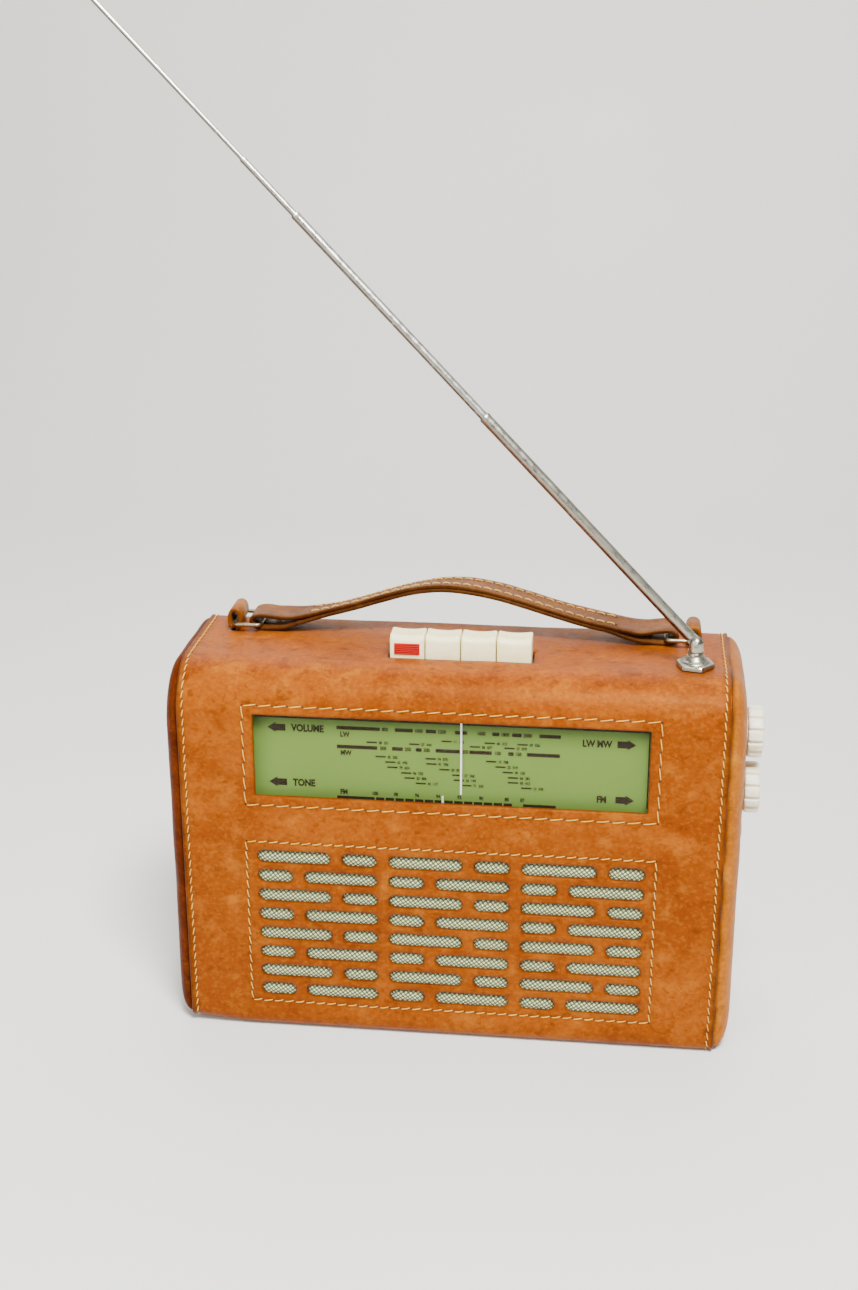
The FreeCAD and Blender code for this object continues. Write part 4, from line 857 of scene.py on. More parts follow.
def end_panel(side, name, slot):
    """A hollow moulded dome: rings fall in along an ellipse and a fan of rings closes the face."""
    count = 220
    rings = []
    shades = []
    tuck = 1.5

    def ring(x, inset, fall_side, fall_top, shrink=1.0):
        spans = case_section(inset + fall_side, inset + fall_top,
                             [max(1.5, r - inset * 0.8) for r in (FRONT_R, BACK_R, BASE_R)])
        total = sum(span_length(span) for span in spans)
        points = []
        for k in range(count):
            y, z, *_ = section_point(spans, total * k / count)
            y, z = y * shrink, TOP / 2 + (z - TOP / 2) * shrink
            at = Vector((x, y, z))
            swell = 0.5 * noise.noise(at / 24) * smooth((abs(x) - HALF_X) / 3)
            points.append(Vector((side * (x + swell * 0.6), y, z + corner_lift(side * x, z))))
        return points

    # shades: painted shade, darkest in the tuck under the wrap's edge and fading over the dome's first rings; the
    # face is nearly clean
    for inset in (tuck + 0.8, tuck):
        rings.append(ring(HALF_X - 0.8, inset, 0, 0))
        shades.append(0.9)
    steps = 16
    for k in range(steps + 1):
        angle = QUARTER * (k / steps) ** 1.15
        fall = 1 - math.cos(angle)
        rings.append(ring(HALF_X + DOME * math.sin(angle) * 0.995, tuck * (1 - 0.5 * math.sin(angle)),
                          SIDE_SHOULDER * fall, TOP_SHOULDER * fall))
        shades.append(0.75 * bell(k, 2.2) + 0.12)
    face_spans = 12
    for k in range(1, face_spans):
        rings.append(ring(HALF_X + DOME, tuck * 0.5, SIDE_SHOULDER, TOP_SHOULDER, 1 - k / face_spans))
        shades.append(0.08)
    points, faces = [], []
    for group in rings:
        points += group
    for r in range(len(rings) - 1):
        for i in range(count):
            j = (i + 1) % count
            faces.append((r * count + i, r * count + j, (r + 1) * count + j, (r + 1) * count + i))
    last = (len(rings) - 1) * count
    faces.append(tuple(last + i for i in range(count)))
    outer_count = len(points)
    inward = Vector((-side * 2.3, 0, 0))
    centre = Vector((side * HALF_X, 0, TOP / 2))
    inner = [p + inward * smooth((abs(p.x) - HALF_X + 0.8) / 2) + (centre - p).normalized() * 1.2
             for p in points]
    for p in inner:
        p.x = side * max(abs(p.x), HALF_X - 0.8)
    back = [tuple(i + outer_count for i in reversed(face)) for face in faces]
    rim = [(i, i + outer_count, (i + 1) % count + outer_count, (i + 1) % count) for i in range(count)]
    mesh = new_mesh(name, points + inner, faces + back + rim)
    values = [s * (0.8 + 0.6 * noise.noise(p / 14)) for s, group in zip(shades, rings) for p in group]
    paint_shade(mesh, [clamp(v) for v in values] + [0.6] * len(inner))
    turn_outward(mesh)
    piece = finish_object(name, mesh, MATERIALS[slot], 50)
    return place(piece, "case", slot, "left_end_panel" if side < 0 else "right_end_panel")


# ---------------------------------------------------------------- rear flap

FLAP_LOW, FLAP_HIGH = box_mm("rear_flap")
WELT_LOW, WELT_HIGH = box_mm("flap_welt")


def flap_height(x, z):
    """The flap bows out a little between its sewn top and its studs."""
    across = 1 - (x / FLAP_HIGH[0]) ** 2
    up = clamp((WELT_LOW[2] - z) / (WELT_LOW[2] - FLAP_LOW[2]))
    edge = min(FLAP_HIGH[0] - abs(x), z - FLAP_LOW[2], WELT_HIGH[2] - z)
    bow = 0.9 * across * math.sin(math.pi * up)
    groove = -0.35 * bell(edge - 4.5, 1.2) - 0.25 * bell(z - WELT_LOW[2] - 2.5, 1.2)
    soft_edge = -0.5 * (1 - smooth(edge / 1.0))
    return bow + groove + soft_edge + 0.3 * noise.noise(Vector((x, 7, z)) / 26)


def rear_flap():
    """One leather panel: a top band sewn to the case and the door below it, built in place as one piece that is
    not attached to a body.
    """
    extra_z = around(FLAP_LOW[2] + 4.5) + around(WELT_LOW[2] + 2.5) + [WELT_LOW[2] - 5, WELT_LOW[2] - 3]
    extra_z += [FLAP_LOW[2] + 0.5, FLAP_LOW[2] + 1, WELT_HIGH[2] - 0.5, WELT_HIGH[2] - 1]
    extra_x = [side * (FLAP_HIGH[0] - off) for side in (-1, 1)
               for off in (0.5, 1.0, 2.6, 3.7, 4.5, 5.3, 6.4)]
    z_lines = spread_lines(FLAP_LOW[2], WELT_HIGH[2], 5.0, extra_z)
    x_lines = spread_lines(-FLAP_HIGH[0], FLAP_HIGH[0], 5.0, extra_x)
    corner = 12.0

    def laid(z, x, lift=0.0):
        pull = clamp((corner - (z - FLAP_LOW[2])) / corner)
        reach = FLAP_HIGH[0] - corner * (1 - math.sqrt(max(0.0, 1 - pull * pull)))
        x = x * reach / FLAP_HIGH[0]
        face = FLAP_LOW[1] + LEATHER + flap_height(x, z)
        return Vector((x, face if lift == 0 else FLAP_LOW[1] + 0.02, z))

    def shade(z, x):
        # Dark worn edges, with painted shade along the stitch groove
        edge = min(FLAP_HIGH[0] - abs(x), z - FLAP_LOW[2], WELT_HIGH[2] - z)
        return clamp(0.6 * bell(edge, 1.4) + 0.15 * bell(edge - 4.5, 1.5))

    piece = sheet_mesh("rear_door", z_lines, x_lines, [], laid, MATERIALS["leather_tan"], LEATHER, shade)
    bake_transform(piece)
    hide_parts("rear_flap", "flap_welt")


def flap_surface(here, aside, height):
    (x, z), (dx, dz) = here
    x, z = x - dz * aside, z + dx * aside
    return Vector((x, FLAP_LOW[1] + LEATHER + flap_height(x, z) + height, z))


def flap_stitching():
    inset = 4.5
    side_x = FLAP_HIGH[0] - inset
    low = FLAP_LOW[2] + inset
    corner = 10.0
    top = WELT_LOW[2] - 6
    sewing = Sewing(23)
    for start, end in (((-side_x, top), (-side_x, low + corner)), ((side_x, low + corner), (side_x, top)),
                       ((-side_x + corner, low), (side_x - corner, low))):
        route, length = straight(start, end)
        sewing.run(route, length, 6.0, flap_surface, 0.25)
    for side in (-1, 1):
        centre = (side * (side_x - corner), low + corner)

        def bend(s, centre=centre, side=side):
            angle = -QUARTER + side * s / corner
            ahead = [-math.sin(angle) * side, math.cos(angle) * side]
            return [centre[0] + corner * math.cos(angle), centre[1] + corner * math.sin(angle)], ahead

        sewing.run(bend, corner * QUARTER, 5.2, flap_surface, 0.25)
    sewing.build("door_stitching", "rear_flap")
    band = Sewing(29)
    route, length = straight((-side_x, WELT_LOW[2] + 4.2), (side_x, WELT_LOW[2] + 4.2))
    band.run(route, length, 6.0, flap_surface, 0.25)
    band.build("door_band_stitching", "case")


# ---------------------------------------------------------------- key caps, knobs and socket

def key_cap(index):
    low, high = box_mm(f"key_{index}")
    cap_low = 196.0
    y0, y1, z1 = low[1], high[1], high[2]
    centre, half = (low[0] + high[0]) / 2, (high[0] - low[0]) / 2
    front_r, back_r, edge_r, dish = 3.2, 1.6, 0.9, 0.9
    rings = []
    left = [-half, -half + 0.12, -half + 0.4, -half + edge_r, -half * 0.75, -half * 0.5, -half * 0.25]
    for x in left + [0.0] + [-x for x in reversed(left)]:
        into = max(0.0, abs(x) - half + edge_r)
        inset = edge_r - math.sqrt(max(0.0, edge_r ** 2 - into ** 2))
        top = z1 - inset - dish * (1 - (x / half) ** 2)
        front, back = y0 + inset, y1 - inset
        ring = [(front, cap_low), (front, cap_low + 5)]
        for k in range(7):
            angle = math.pi - k / 6 * QUARTER
            ring.append((front + front_r + front_r * math.cos(angle),
                         top - front_r + front_r * math.sin(angle)))
        for k in range(1, 5):
            t = k / 5
            ring.append((front + front_r + (back - back_r - front - front_r) * t,
                         top - 0.35 * math.sin(math.pi * t)))
        for k in range(5):
            angle = QUARTER - k / 4 * QUARTER
            ring.append((back - back_r + back_r * math.cos(angle),
                         top - back_r + back_r * math.sin(angle)))
        ring += [(back, cap_low + 5), (back, cap_low)]
        rings.append([Vector((centre + x, y, z)) for y, z in ring])
    build = Builder()
    build.rings(rings)
    build.put(f"key_cap_{index}", "key_cream", f"key_{index}", "key_cream", f"key_{index}",
              smooth_degrees=45)
    slider = Builder()
    slider.slab((centre - 3, -10, low[2]), (centre + 3, -8.8, cap_low + 1), 0.15)
    slider.put(f"key_slider_{index}", "zinc_steel", f"key_{index}", "zinc_steel")


def key_marker():
    low, high = box_mm("key_marker")
    build = Builder()
    build.slab((low[0], high[1] - 0.35, low[2]), (high[0], high[1] + 0.2, high[2]), 0.1)
    ribs = 6
    pitch = (high[2] - low[2]) / ribs
    for k in range(ribs):
        z = low[2] + (k + 0.5) * pitch
        ends = (low[0] + 0.1, low[0] + 0.4, high[0] - 0.4, high[0] - 0.1)
        build.tube([Vector((x, high[1] - 0.28, z)) for x in ends],
                   [pitch * 0.3, pitch * 0.42, pitch * 0.42, pitch * 0.3], 10)
    build.put("red_marker", "marker_red", "key_1", "marker_red", "key_marker")


KNOBS = (("volume_knob", -1), ("tone_knob", -1), ("am_knob", 1), ("fm_knob", 1))


def knob(name, side):
    low, high = box_mm(name)
    across = middle(name)
    far = max(abs(low[0]), abs(high[0]))
    length = 7.7
    near = far - length
    outer = (high[1] - low[1]) / 2
    flutes = 13

    def fluted(radius, angle):
        rim = smooth((radius - outer * 0.72) / (outer * 0.2))
        groove = smooth((0.5 + 0.5 * math.cos(flutes * angle) - 0.62) / 0.25)
        return radius - 1.7 * rim * groove

    profile = [(0, 0), (outer * 0.86, 0), (outer * 0.95, 0.15), (outer * 0.985, 0.6), (outer, 1.4),
               (outer, length - 2.0), (outer * 0.985, length - 0.9), (outer * 0.95, length - 0.35),
               (outer * 0.90, length - 0.08), (outer * 0.84, length), (outer * 0.78, length - 0.05),
               (outer * 0.74, length - 0.45), (outer * 0.70, length - 0.75), (outer * 0.35, length - 0.95),
               (0, length - 1.0)]
    build = Builder()
    build.lathe(profile, (side * near, across[1], across[2]), (side, 0, 0), flutes * 14, fluted)
    build.put(name + "_cap", "ivory_plastic", name, "ivory_plastic", name, smooth_degrees=50)
    shaft = Builder()
    inner = min(abs(low[0]), abs(high[0]))
    shaft.lathe([(2.6, 0), (3.0, 0.4), (3.0, near - inner + 2), (0, near - inner + 2)],
                (side * inner, across[1], across[2]), (side, 0, 0), 32)
    shaft.put(name + "_shaft", "zinc_steel", name, "zinc_steel")


def knob_washers():
    build = Builder()
    for name, side in KNOBS:
        at = middle(name)
        build.lathe([(3.5, -0.5), (10.2, -0.5), (10.4, 0.1), (10.1, 0.5), (3.5, 0.55), (3.4, 0)],
                    (side * (HALF_X + DOME), at[1], at[2]), (side, 0, 0), 48)
    build.put("felt_washers", "ivory_plastic", "case", "nickel", "knob_washers")


def earphone_socket():
    inner_end = box_mm("earphone_socket")[0][0]
    y, z = -10.0, 113.0
    build = Builder()
    build.lathe([(3.4, -20), (3.4, -0.6), (5.4, -0.6), (5.5, 0.3), (5.2, 1.1), (4.2, 1.5), (2.6, 1.5),
                 (2.1, 1.2), (1.8, 0.6), (1.8, -10.5), (0, -10.5)], (HALF_X + DOME, y, z), (1, 0, 0), 40)
    build.slab((inner_end, y - 6, z - 6), (HALF_X - 3, y + 6, z + 4), 0.6)
    build.put("earphone_jack", "nickel", "case", "nickel", "earphone_socket")


def studs():
    """Two snap caps on the door, over two pins on the case."""
    stud_x = 80.0
    cap = [(0, 0), (5.2, 0), (5.5, 0.4), (5.3, 0.9), (4.2, 1.5), (2.2, 1.9), (0, 2.0)]
    pin = [(1.6, -3), (1.9, 0), (1.9, 1.6), (2.1, 2.0), (1.6, 2.3), (0, 2.35)]
    for name, body, base, profile in (("stud_caps", "rear_flap", "flap_studs", cap),
                                      ("stud_pins", "case", "stud_posts", pin)):
        low = box_mm(base)[0]
        build = Builder()
        for side in (-1, 1):
            build.lathe(profile, (side * stud_x, low[1], middle(base)[2]), (0, 1, 0), 40)
        build.put(name, "nickel", body, "nickel", base)


# ---------------------------------------------------------------- telescopic antenna

MAST = next(Vector(j["axis"]) for j in frame["joints"] if j["name"] == "tube_2_slide")
PIN = Vector(next(j["pos_m"] for j in frame["joints"] if j["name"] == "antenna_tilt")) / MM
# How far each section's mouth is from the knuckle pin.
END_ONE, END_TWO, END_THREE, END_FOUR = 154.5, 284.5, 319.1, 439.1


def tube_profile(radius, start, end, mouth, inside):
    """A drawn tube from its closed end to a rolled lip, and back down its bore."""
    return [(radius, start), (radius, end - 3.0), (radius * 0.985, end - 2.6), (radius, end - 2.2),
            (radius * 1.035, end - 1.4), (radius * 1.035, end - 0.8), (radius * 0.96, end - 0.15),
            (mouth + 0.12, end), (mouth, end - 0.2), (mouth, end - 2.5), (inside, end - 3.2),
            (inside, start + 1.0), (0, start + 1.0)]


def mast_tube(name, radius, start, end, mouth, collar):
    """A sliding tube with a collar that keeps it inside the one below."""
    build = Builder()
    profile = [(0, start), (collar, start), (collar, start + 2)]
    build.lathe(profile + tube_profile(radius, start + 2.2, end, mouth, collar * 0.845), PIN, MAST, 40)
    return build.put(name + "_metal", "mast_bright_painted_light", name, "nickel", name, smooth_degrees=35)


def first_tube():
    """The thickest tube ends in a flattened tongue held between the fork's ears."""
    build = Builder()
    radius = 2.85
    foot = [(0, 3.9), (2.0, 3.9), (2.6, 4.3)]
    build.lathe(foot + tube_profile(radius, 5.2, END_ONE, 2.34, 2.55), PIN, MAST, 48)
    side = Vector((0, 1, 0))
    flat = MAST.cross(side).normalized()
    outline = []
    for k in range(13):
        angle = math.pi + k / 12 * math.pi
        outline.append(flat * (3.1 * math.cos(angle)) + MAST * (3.1 * math.sin(angle)))
    outline += [flat * 2.5 + MAST * 5, flat * -2.5 + MAST * 5]
    build.rings([[PIN + side * y + p * shrink for p in outline]
                 for y, shrink in ((-1.6, 0.94), (-1.4, 1), (1.4, 1), (1.6, 0.94))])
    build.put("antenna_first_metal", "mast_dull_painted_light", "antenna_tube_1", "nickel", "antenna_tube_1",
              smooth_degrees=35)


def antenna_stem():
    """A turned post with a domed head, slotted for the tongue and pinned through."""
    base = Vector((PIN.x, PIN.y, 0))
    head, foot = 3.9, PIN.z - 3.35
    build = Builder()
    build.lathe([(2.5, 193), (2.5, 208.2), (head, 208.4), (head, foot - 1.6), (head * 0.94, foot - 1.3),
                 (head, foot - 1.0), (head, foot), (0, foot)], base, (0, 0, 1), 48)
    for side in (-1, 1):
        rings = []
        for depth in (1.78, 2.1, 2.5, 2.9, 3.25, 3.55, 3.78):
            half = math.sqrt(head ** 2 - depth ** 2)
            ring = [Vector((PIN.x + half * math.cos(k / 20 * math.pi), PIN.y + side * depth,
                            PIN.z + half * math.sin(k / 20 * math.pi))) for k in range(21)]
            ring += [Vector((PIN.x + x, PIN.y + side * depth, foot - 0.3)) for x in (-half, half)]
            rings.append(ring)
        build.rings(rings)
    build.lathe([(0, -4.3), (0.9, -4.25), (1.3, -3.95), (1.3, -3.2), (1.2, -3.1), (1.2, 3.1), (1.3, 3.95),
                 (0.9, 4.25), (0, 4.3)], PIN, (0, 1, 0), 28)
    build.put("antenna_post", "nickel", "antenna_stem", "nickel", "antenna_stem", smooth_degrees=40)


def antenna_base():
    low, high = box_mm("antenna_nut")
    centre = Vector((NUT[0], NUT[1], 0))
    flats = 8.7
    build = Builder()
    rings = []
    for z, grow in ((low[2] + 0.05, -0.5), (low[2] + 0.5, 0.0), (high[2] - 0.9, 0.0),
                    (high[2] - 0.35, -0.35), (high[2], -1.3)):
        ring = []
        for k in range(48):
            angle = k * TAU / 48
            sector = (angle + math.pi / 6) % (math.pi / 3) - math.pi / 6
            reach = min((flats + grow) / math.cos(sector), flats * 1.125 + grow * 1.6)
            spin = angle + 0.3
            ring.append(centre + Vector((reach * math.cos(spin), reach * math.sin(spin), z)))
        rings.append(ring)
    build.rings(rings)
    build.put("hex_nut", "nickel", "case", "nickel", "antenna_nut", smooth_degrees=25)
    collar = Builder()
    collar.lathe([(4.4, 194), (4.4, 205.7), (7.3, 205.8), (7.5, 206.1), (7.2, 206.5), (6.0, 207.0),
                  (5.1, 207.8), (4.6, 208.8), (4.3, 209.2), (4.0, 209.3), (2.7, 209.0), (2.7, 195),
                  (0, 194.5)], centre, (0, 0, 1), 48)
    collar.put("flared_ferrule", "nickel", "case", "nickel", "antenna_ferrule", smooth_degrees=40)


def antenna():
    antenna_base()
    antenna_stem()
    first_tube()
    mast_tube("antenna_tube_2", 2.2, END_ONE - 12.5, END_TWO, 1.67, 2.4)
    mast_tube("antenna_tube_3", 1.6, END_THREE - 132, END_THREE, 1.23, 1.78)
    rod = Builder()
    rod.lathe([(0, END_FOUR - 128), (1.2, END_FOUR - 128), (1.15, END_FOUR - 126), (1.15, END_FOUR)],
              PIN, MAST, 28)
    rod.put("antenna_thin_rod", "mast_bright_painted_light", "antenna_tube_4", "nickel", "antenna_tube_4")
    tip = Builder()
    tip.lathe([(1.2, END_FOUR - 0.8), (1.8, END_FOUR - 0.5), (2.2, END_FOUR), (2.25, END_FOUR + 3.5),
               (2.1, END_FOUR + 5), (1.5, END_FOUR + 6.3), (0.6, END_FOUR + 6.9), (0, END_FOUR + 7)],
              PIN, MAST, 32)
    tip.put("antenna_button", "nickel", "antenna_tube_4", "nickel", "antenna_tip")


# ---------------------------------------------------------------- handle

STRAP_LOW, STRAP_HIGH = box_mm("handle_strap")
RING_Z = middle("ring_left")[2]
STRAP_MID = (STRAP_LOW[1] + STRAP_HIGH[1]) / 2
STRAP_HALF = (STRAP_HIGH[1] - STRAP_LOW[1]) / 2
LAYER = 2.0


def smooth_path(points, closed=True, per_span=8):
    """A Catmull-Rom curve through points."""
    result = []
    count = len(points)
    spans = count if closed else count - 1
    for i in range(spans):
        if closed:
            p = [points[(i + k) % count] for k in (-1, 0, 1, 2)]
        else:
            p = [points[max(0, min(count - 1, i + k))] for k in (-1, 0, 1, 2)]
        for step in range(per_span):
            t = step / per_span
            result.append(0.5 * ((2 * p[1]) + (p[2] - p[0]) * t
                                 + (2 * p[0] - 5 * p[1] + 4 * p[2] - p[3]) * t * t
                                 + (3 * p[1] - p[0] - 3 * p[2] + p[3]) * t ** 3))
    if not closed:
        result.append(points[-1])
    return result


def arch_height(x):
    """Middle of the strap's two layers along the arch."""
    return 207.5 + 22.0 * bell(x + 5.0, 56.5 if x < -5.0 else 63.0)


def strap_roll(x):
    """The strap lies rolled back over its left half, in radians."""
    back = math.radians(9.0) * smooth((18 - x) / 52) * smooth((x + 98) / 35)
    return back - math.radians(2.5) * smooth((x - 45) / 30)


def strap_line():
    """One band that runs round both rings: along the top, round the right bar, back underneath."""
    inner = LAYER / 2 + 0.05
    top = [Vector((x, 0, arch_height(x) + inner)) for x in range(-76, 77, 12)]
    under = [Vector((x, 0, arch_height(x) - inner)) for x in range(76, -77, -12)]
    right = [Vector(p) for p in ((85, 0, 210.7), (94, 0, 209.8), (102, 0, 210.8), (107.6, 0, 211.2),
                                 (111.1, 0, 209.2), (110.8, 0, 206.2), (106.8, 0, 204.6), (100, 0, 204.7),
                                 (92, 0, 205.7), (84, 0, 207.9))]
    left = [Vector(p) for p in ((-86, 0, 207.8), (-94, 0, 205.5), (-101, 0, 204.7), (-106.5, 0, 204.6),
                                (-110.0, 0, 206.0), (-111.2, 0, 208.3), (-109.9, 0, 210.5), (-105.5, 0, 211.4),
                                (-97.5, 0, 210.8), (-87.5, 0, 210.9))]
    return smooth_path(top + right + under + left)


def handle_strap():
    path = strap_line()
    count = len(path)
    thick, soft = LAYER / 2, 0.55
    width = Vector((0, 1, 0))
    build = Builder()
    rings = []
    for i, point in enumerate(path):
        ahead = path[(i + 1) % count] - path[i - 1]
        lift = Vector((-ahead.z, 0, ahead.x)).normalized()
        roll = strap_roll(point.x)
        centre = Vector((point.x, STRAP_MID, point.z))
        section = []
        half = STRAP_HALF - 1.0 * smooth((abs(point.x) - 92) / 8)
        for y, z in ((-half, -thick + soft), (-half, thick - soft), (-half + 0.2, thick - 0.15),
                     (-half + soft, thick), (-half * 0.65, thick + 0.05), (-half * 0.55, thick - 0.12),
                     (0, thick + 0.12), (half * 0.55, thick - 0.12), (half * 0.65, thick + 0.05),
                     (half - soft, thick), (half - 0.2, thick - 0.15), (half, thick - soft),
                     (half, -thick + soft), (half - soft, -thick), (0, -thick), (-half + soft, -thick)):
            at = centre + width * y + lift * z
            at += Vector((0, 0, -math.tan(roll) * y))
            at += lift * (0.18 * noise.noise(at / 9))
            section.append(at)
        rings.append(section)
    build.rings(rings, closed=True)
    piece = build.put("strap_leather", "leather_strap", "handle", "leather_strap", "handle_strap",
                      smooth_degrees=50)
    # Dark edges, painted shade on the inner faces between the two layers, and lightest along the middle of the
    # outer face
    sides = (0.75, 0.75, 0.5, 0.25, 0.2, 0.05, 0, 0.05, 0.2, 0.25, 0.5, 0.75, 0.75, 0.5, 0.3, 0.5)
    paint_shade(piece.data, [sides[k % len(sides)] for k in range(len(piece.data.vertices))])


def strap_stitching():
    sewing = Sewing(37)

    def surface(here, aside, height):
        (x, y), _ = here
        y += aside
        top = arch_height(x) + LAYER + 0.05
        slope = (x + 4.0) / math.sqrt(190.0 ** 2 - (x + 4.0) ** 2)
        up = Vector((slope, 0, 1)).normalized()
        return Vector((x, STRAP_MID + y, top - math.tan(strap_roll(x)) * y)) + up * (height - 0.05)

    for y in (-STRAP_HALF * 0.55, STRAP_HALF * 0.55):
        route, length = straight((-80, y), (80, y))
        sewing.run(route, length, 5.4, surface, 0.2, 0.36, 0.36)
    sewing.build("strap_stitching", "handle")


def rivets():
    low, high = [corner[2] for corner in box_mm("handle_rivets")]
    rivet_x = 98.0
    build = Builder()
    for side in (-1, 1):
        build.lathe([(0, low - 0.8), (1.6, low - 0.7), (2.7, low - 0.2), (2.8, low + 0.2),
                     (1.2, low + 0.6), (1.2, high - 1), (0, high - 0.8)],
                    (side * rivet_x, STRAP_MID, 0), (0, 0, 1), 32)
    build.put("strap_rivets", "nickel_dull", "handle", "nickel", "handle_rivets")


def ring(name):
    """A wire bent to a rounded rectangle."""
    low, high = box_mm(name)
    wire = 1.1
    x0, x1 = low[0] + wire, high[0] - wire
    y0, y1 = low[1] + wire, high[1] - wire
    corner = 2.4
    path = []
    for xc, yc, quarter in ((x1 - corner, y1 - corner, 0), (x0 + corner, y1 - corner, 1),
                            (x0 + corner, y0 + corner, 2), (x1 - corner, y0 + corner, 3)):
        for k in range(7):
            angle = (quarter + k / 6) * QUARTER
            path.append(Vector((xc + corner * math.cos(angle), yc + corner * math.sin(angle), RING_Z)))
    build = Builder()
    build.tube(path, wire, 14, closed=True, up=Vector((0, 0, 1)))
    build.put(name + "_wire", "ring_bronze", name, "nickel", name, smooth_degrees=60)


def handle_tabs():
    """Rolled leather loops: a strip goes up, over and down again, and ends inside the roll."""
    near, far = TAB_LOW[1], TAB_HIGH[1]
    build = Builder()
    shades = []
    thick = 0.95
    knee = 5.0
    turn = ((1.3, -1.5), (1.3, 1.5), (0.9, 3.4), (-0.8, 2.0), (-2.5, 2.6), (-2.9, 5.2), (-2.7, 8.0),
            (-1.7, 10.1), (0.1, 10.8), (1.9, 10.2), (2.8, 8.2), (2.9, 5.6), (2.4, 3.8))
    for side, squash in ((-1, 1.0), (1, 0.80)):
        path = []
        for dx, dz in turn:
            rise = min(dz, knee) + max(dz - knee, 0) * squash
            path.append(Vector((side * (RING_OUTER_X - dx), 0, TOP + rise)))
        path = smooth_path(path, False, 5)
        rings = []
        for i, point in enumerate(path):
            ahead = path[min(i + 1, len(path) - 1)] - path[max(i - 1, 0)]
            lift = Vector((-ahead.z, 0, ahead.x)).normalized()
            lean = (point.z - TOP) * 0.05
            section = []
            for y, off in ((near, -thick + 0.3), (near, thick - 0.3), (near + 0.35, thick),
                           (far - 0.35, thick), (far, thick - 0.3), (far, -thick + 0.3),
                           (far - 0.35, -thick), (near + 0.35, -thick)):
                section.append(Vector((point.x, y + lean, point.z)) + lift * off)
            rings.append(section)
            shades += [0.6, 0.6, 0.2, 0.0, 0.5, 0.5, 0.4, 0.4]
        build.rings(rings)
    piece = build.put("tab_loops", "leather_tab", "case", "leather_strap", "handle_tabs",
                      smooth_degrees=50)
    paint_shade(piece.data, shades)


# ---------------------------------------------------------------- dial, cloth and print

# Bars from X to X on the two upper rows; heights of the station lines with where each line starts; each
# word with its place and letter height; and the number rows, height first.
LONG_WAVE = ((-57.6, -35.5), (-28.0, -18.9), (-12.4, -7.2), (2.2, 8.4), (20.9, 24.5), (30.8, 35.6),
             (44.4, 55.1))
MIDDLE_WAVE = ((-57.6, -37.0), (-29.5, -24.0), (-17.5, -14.5), (-7.5, 5.2), (9.5, 20.8), (29.0, 31.8),
               (38.3, 54.9))
STATIONS = ((166.9, (-4.5, 17.1, 33.5)), (164.6, (-42.4, -20.8, 9.7, 27.0)), (157.0, (-38.0, -12.6, 17.9)),
            (154.2, (-33.0, -12.2, 22.6)), (151.4, (-32.0, -5.7, 26.3)), (148.6, (-25.0, 1.0, 29.0)),
            (145.9, (-23.3, 1.7, 29.0)), (143.2, (-17.6, 5.5, 35.7)))
PRINTED = (("VOLUME", -80.6, 169.0, 3.7), ("TONE", -80.6, 138.9, 3.7), ("LW MW", 65.8, 167.5, 3.5),
           ("FM", 73.6, 137.4, 3.5), ("LW", -55.8, 167.1, 2.7), ("MW", -55.8, 157.0, 2.7),
           ("FM", -56.3, 135.4, 2.7))
NUMBERS = ((171.0, (("800", -34.6), ("1000", -18.2), ("1200", -6.5), ("1600", 13.2), ("1800", 25.2),
                    ("2000", 36.4))),
           (160.7, (("500", -35.6), ("250", -23.1), ("300", -13.6), ("200", 5.8), ("100", 22.2),
                    ("150", 32.4))),
           (135.6, (("100", -40.0), ("98", -28.8), ("96", -18.0), ("94", -7.2), ("92", 3.5), ("90", 14.6),
                    ("88", 27.5), ("87", 35.4))))
NUMBER_TALL, STATION_TALL = 1.9, 1.5


def printed_word(text, x, z, tall, y):
    """A mesh of raised letters standing in the plane of the dial."""
    curve = bpy.data.curves.new("word", "FONT")
    curve.body = text
    curve.size = tall * 1.42 * MM
    curve.extrude = 0.025 * MM
    curve.offset = 0.07 * tall * MM
    curve.resolution_u = 3
    holder = bpy.data.objects.new("word", curve)
    word = bpy.data.meshes.new_from_object(holder)
    narrow = Matrix.Diagonal((0.80, 1.0, 1.0, 1.0))
    place_at = Matrix.Translation((x * MM, y * MM, z * MM))
    word.transform(place_at @ Matrix.Rotation(QUARTER, 4, "X") @ narrow)
    bpy.data.objects.remove(holder)
    bpy.data.curves.remove(curve)
    return word


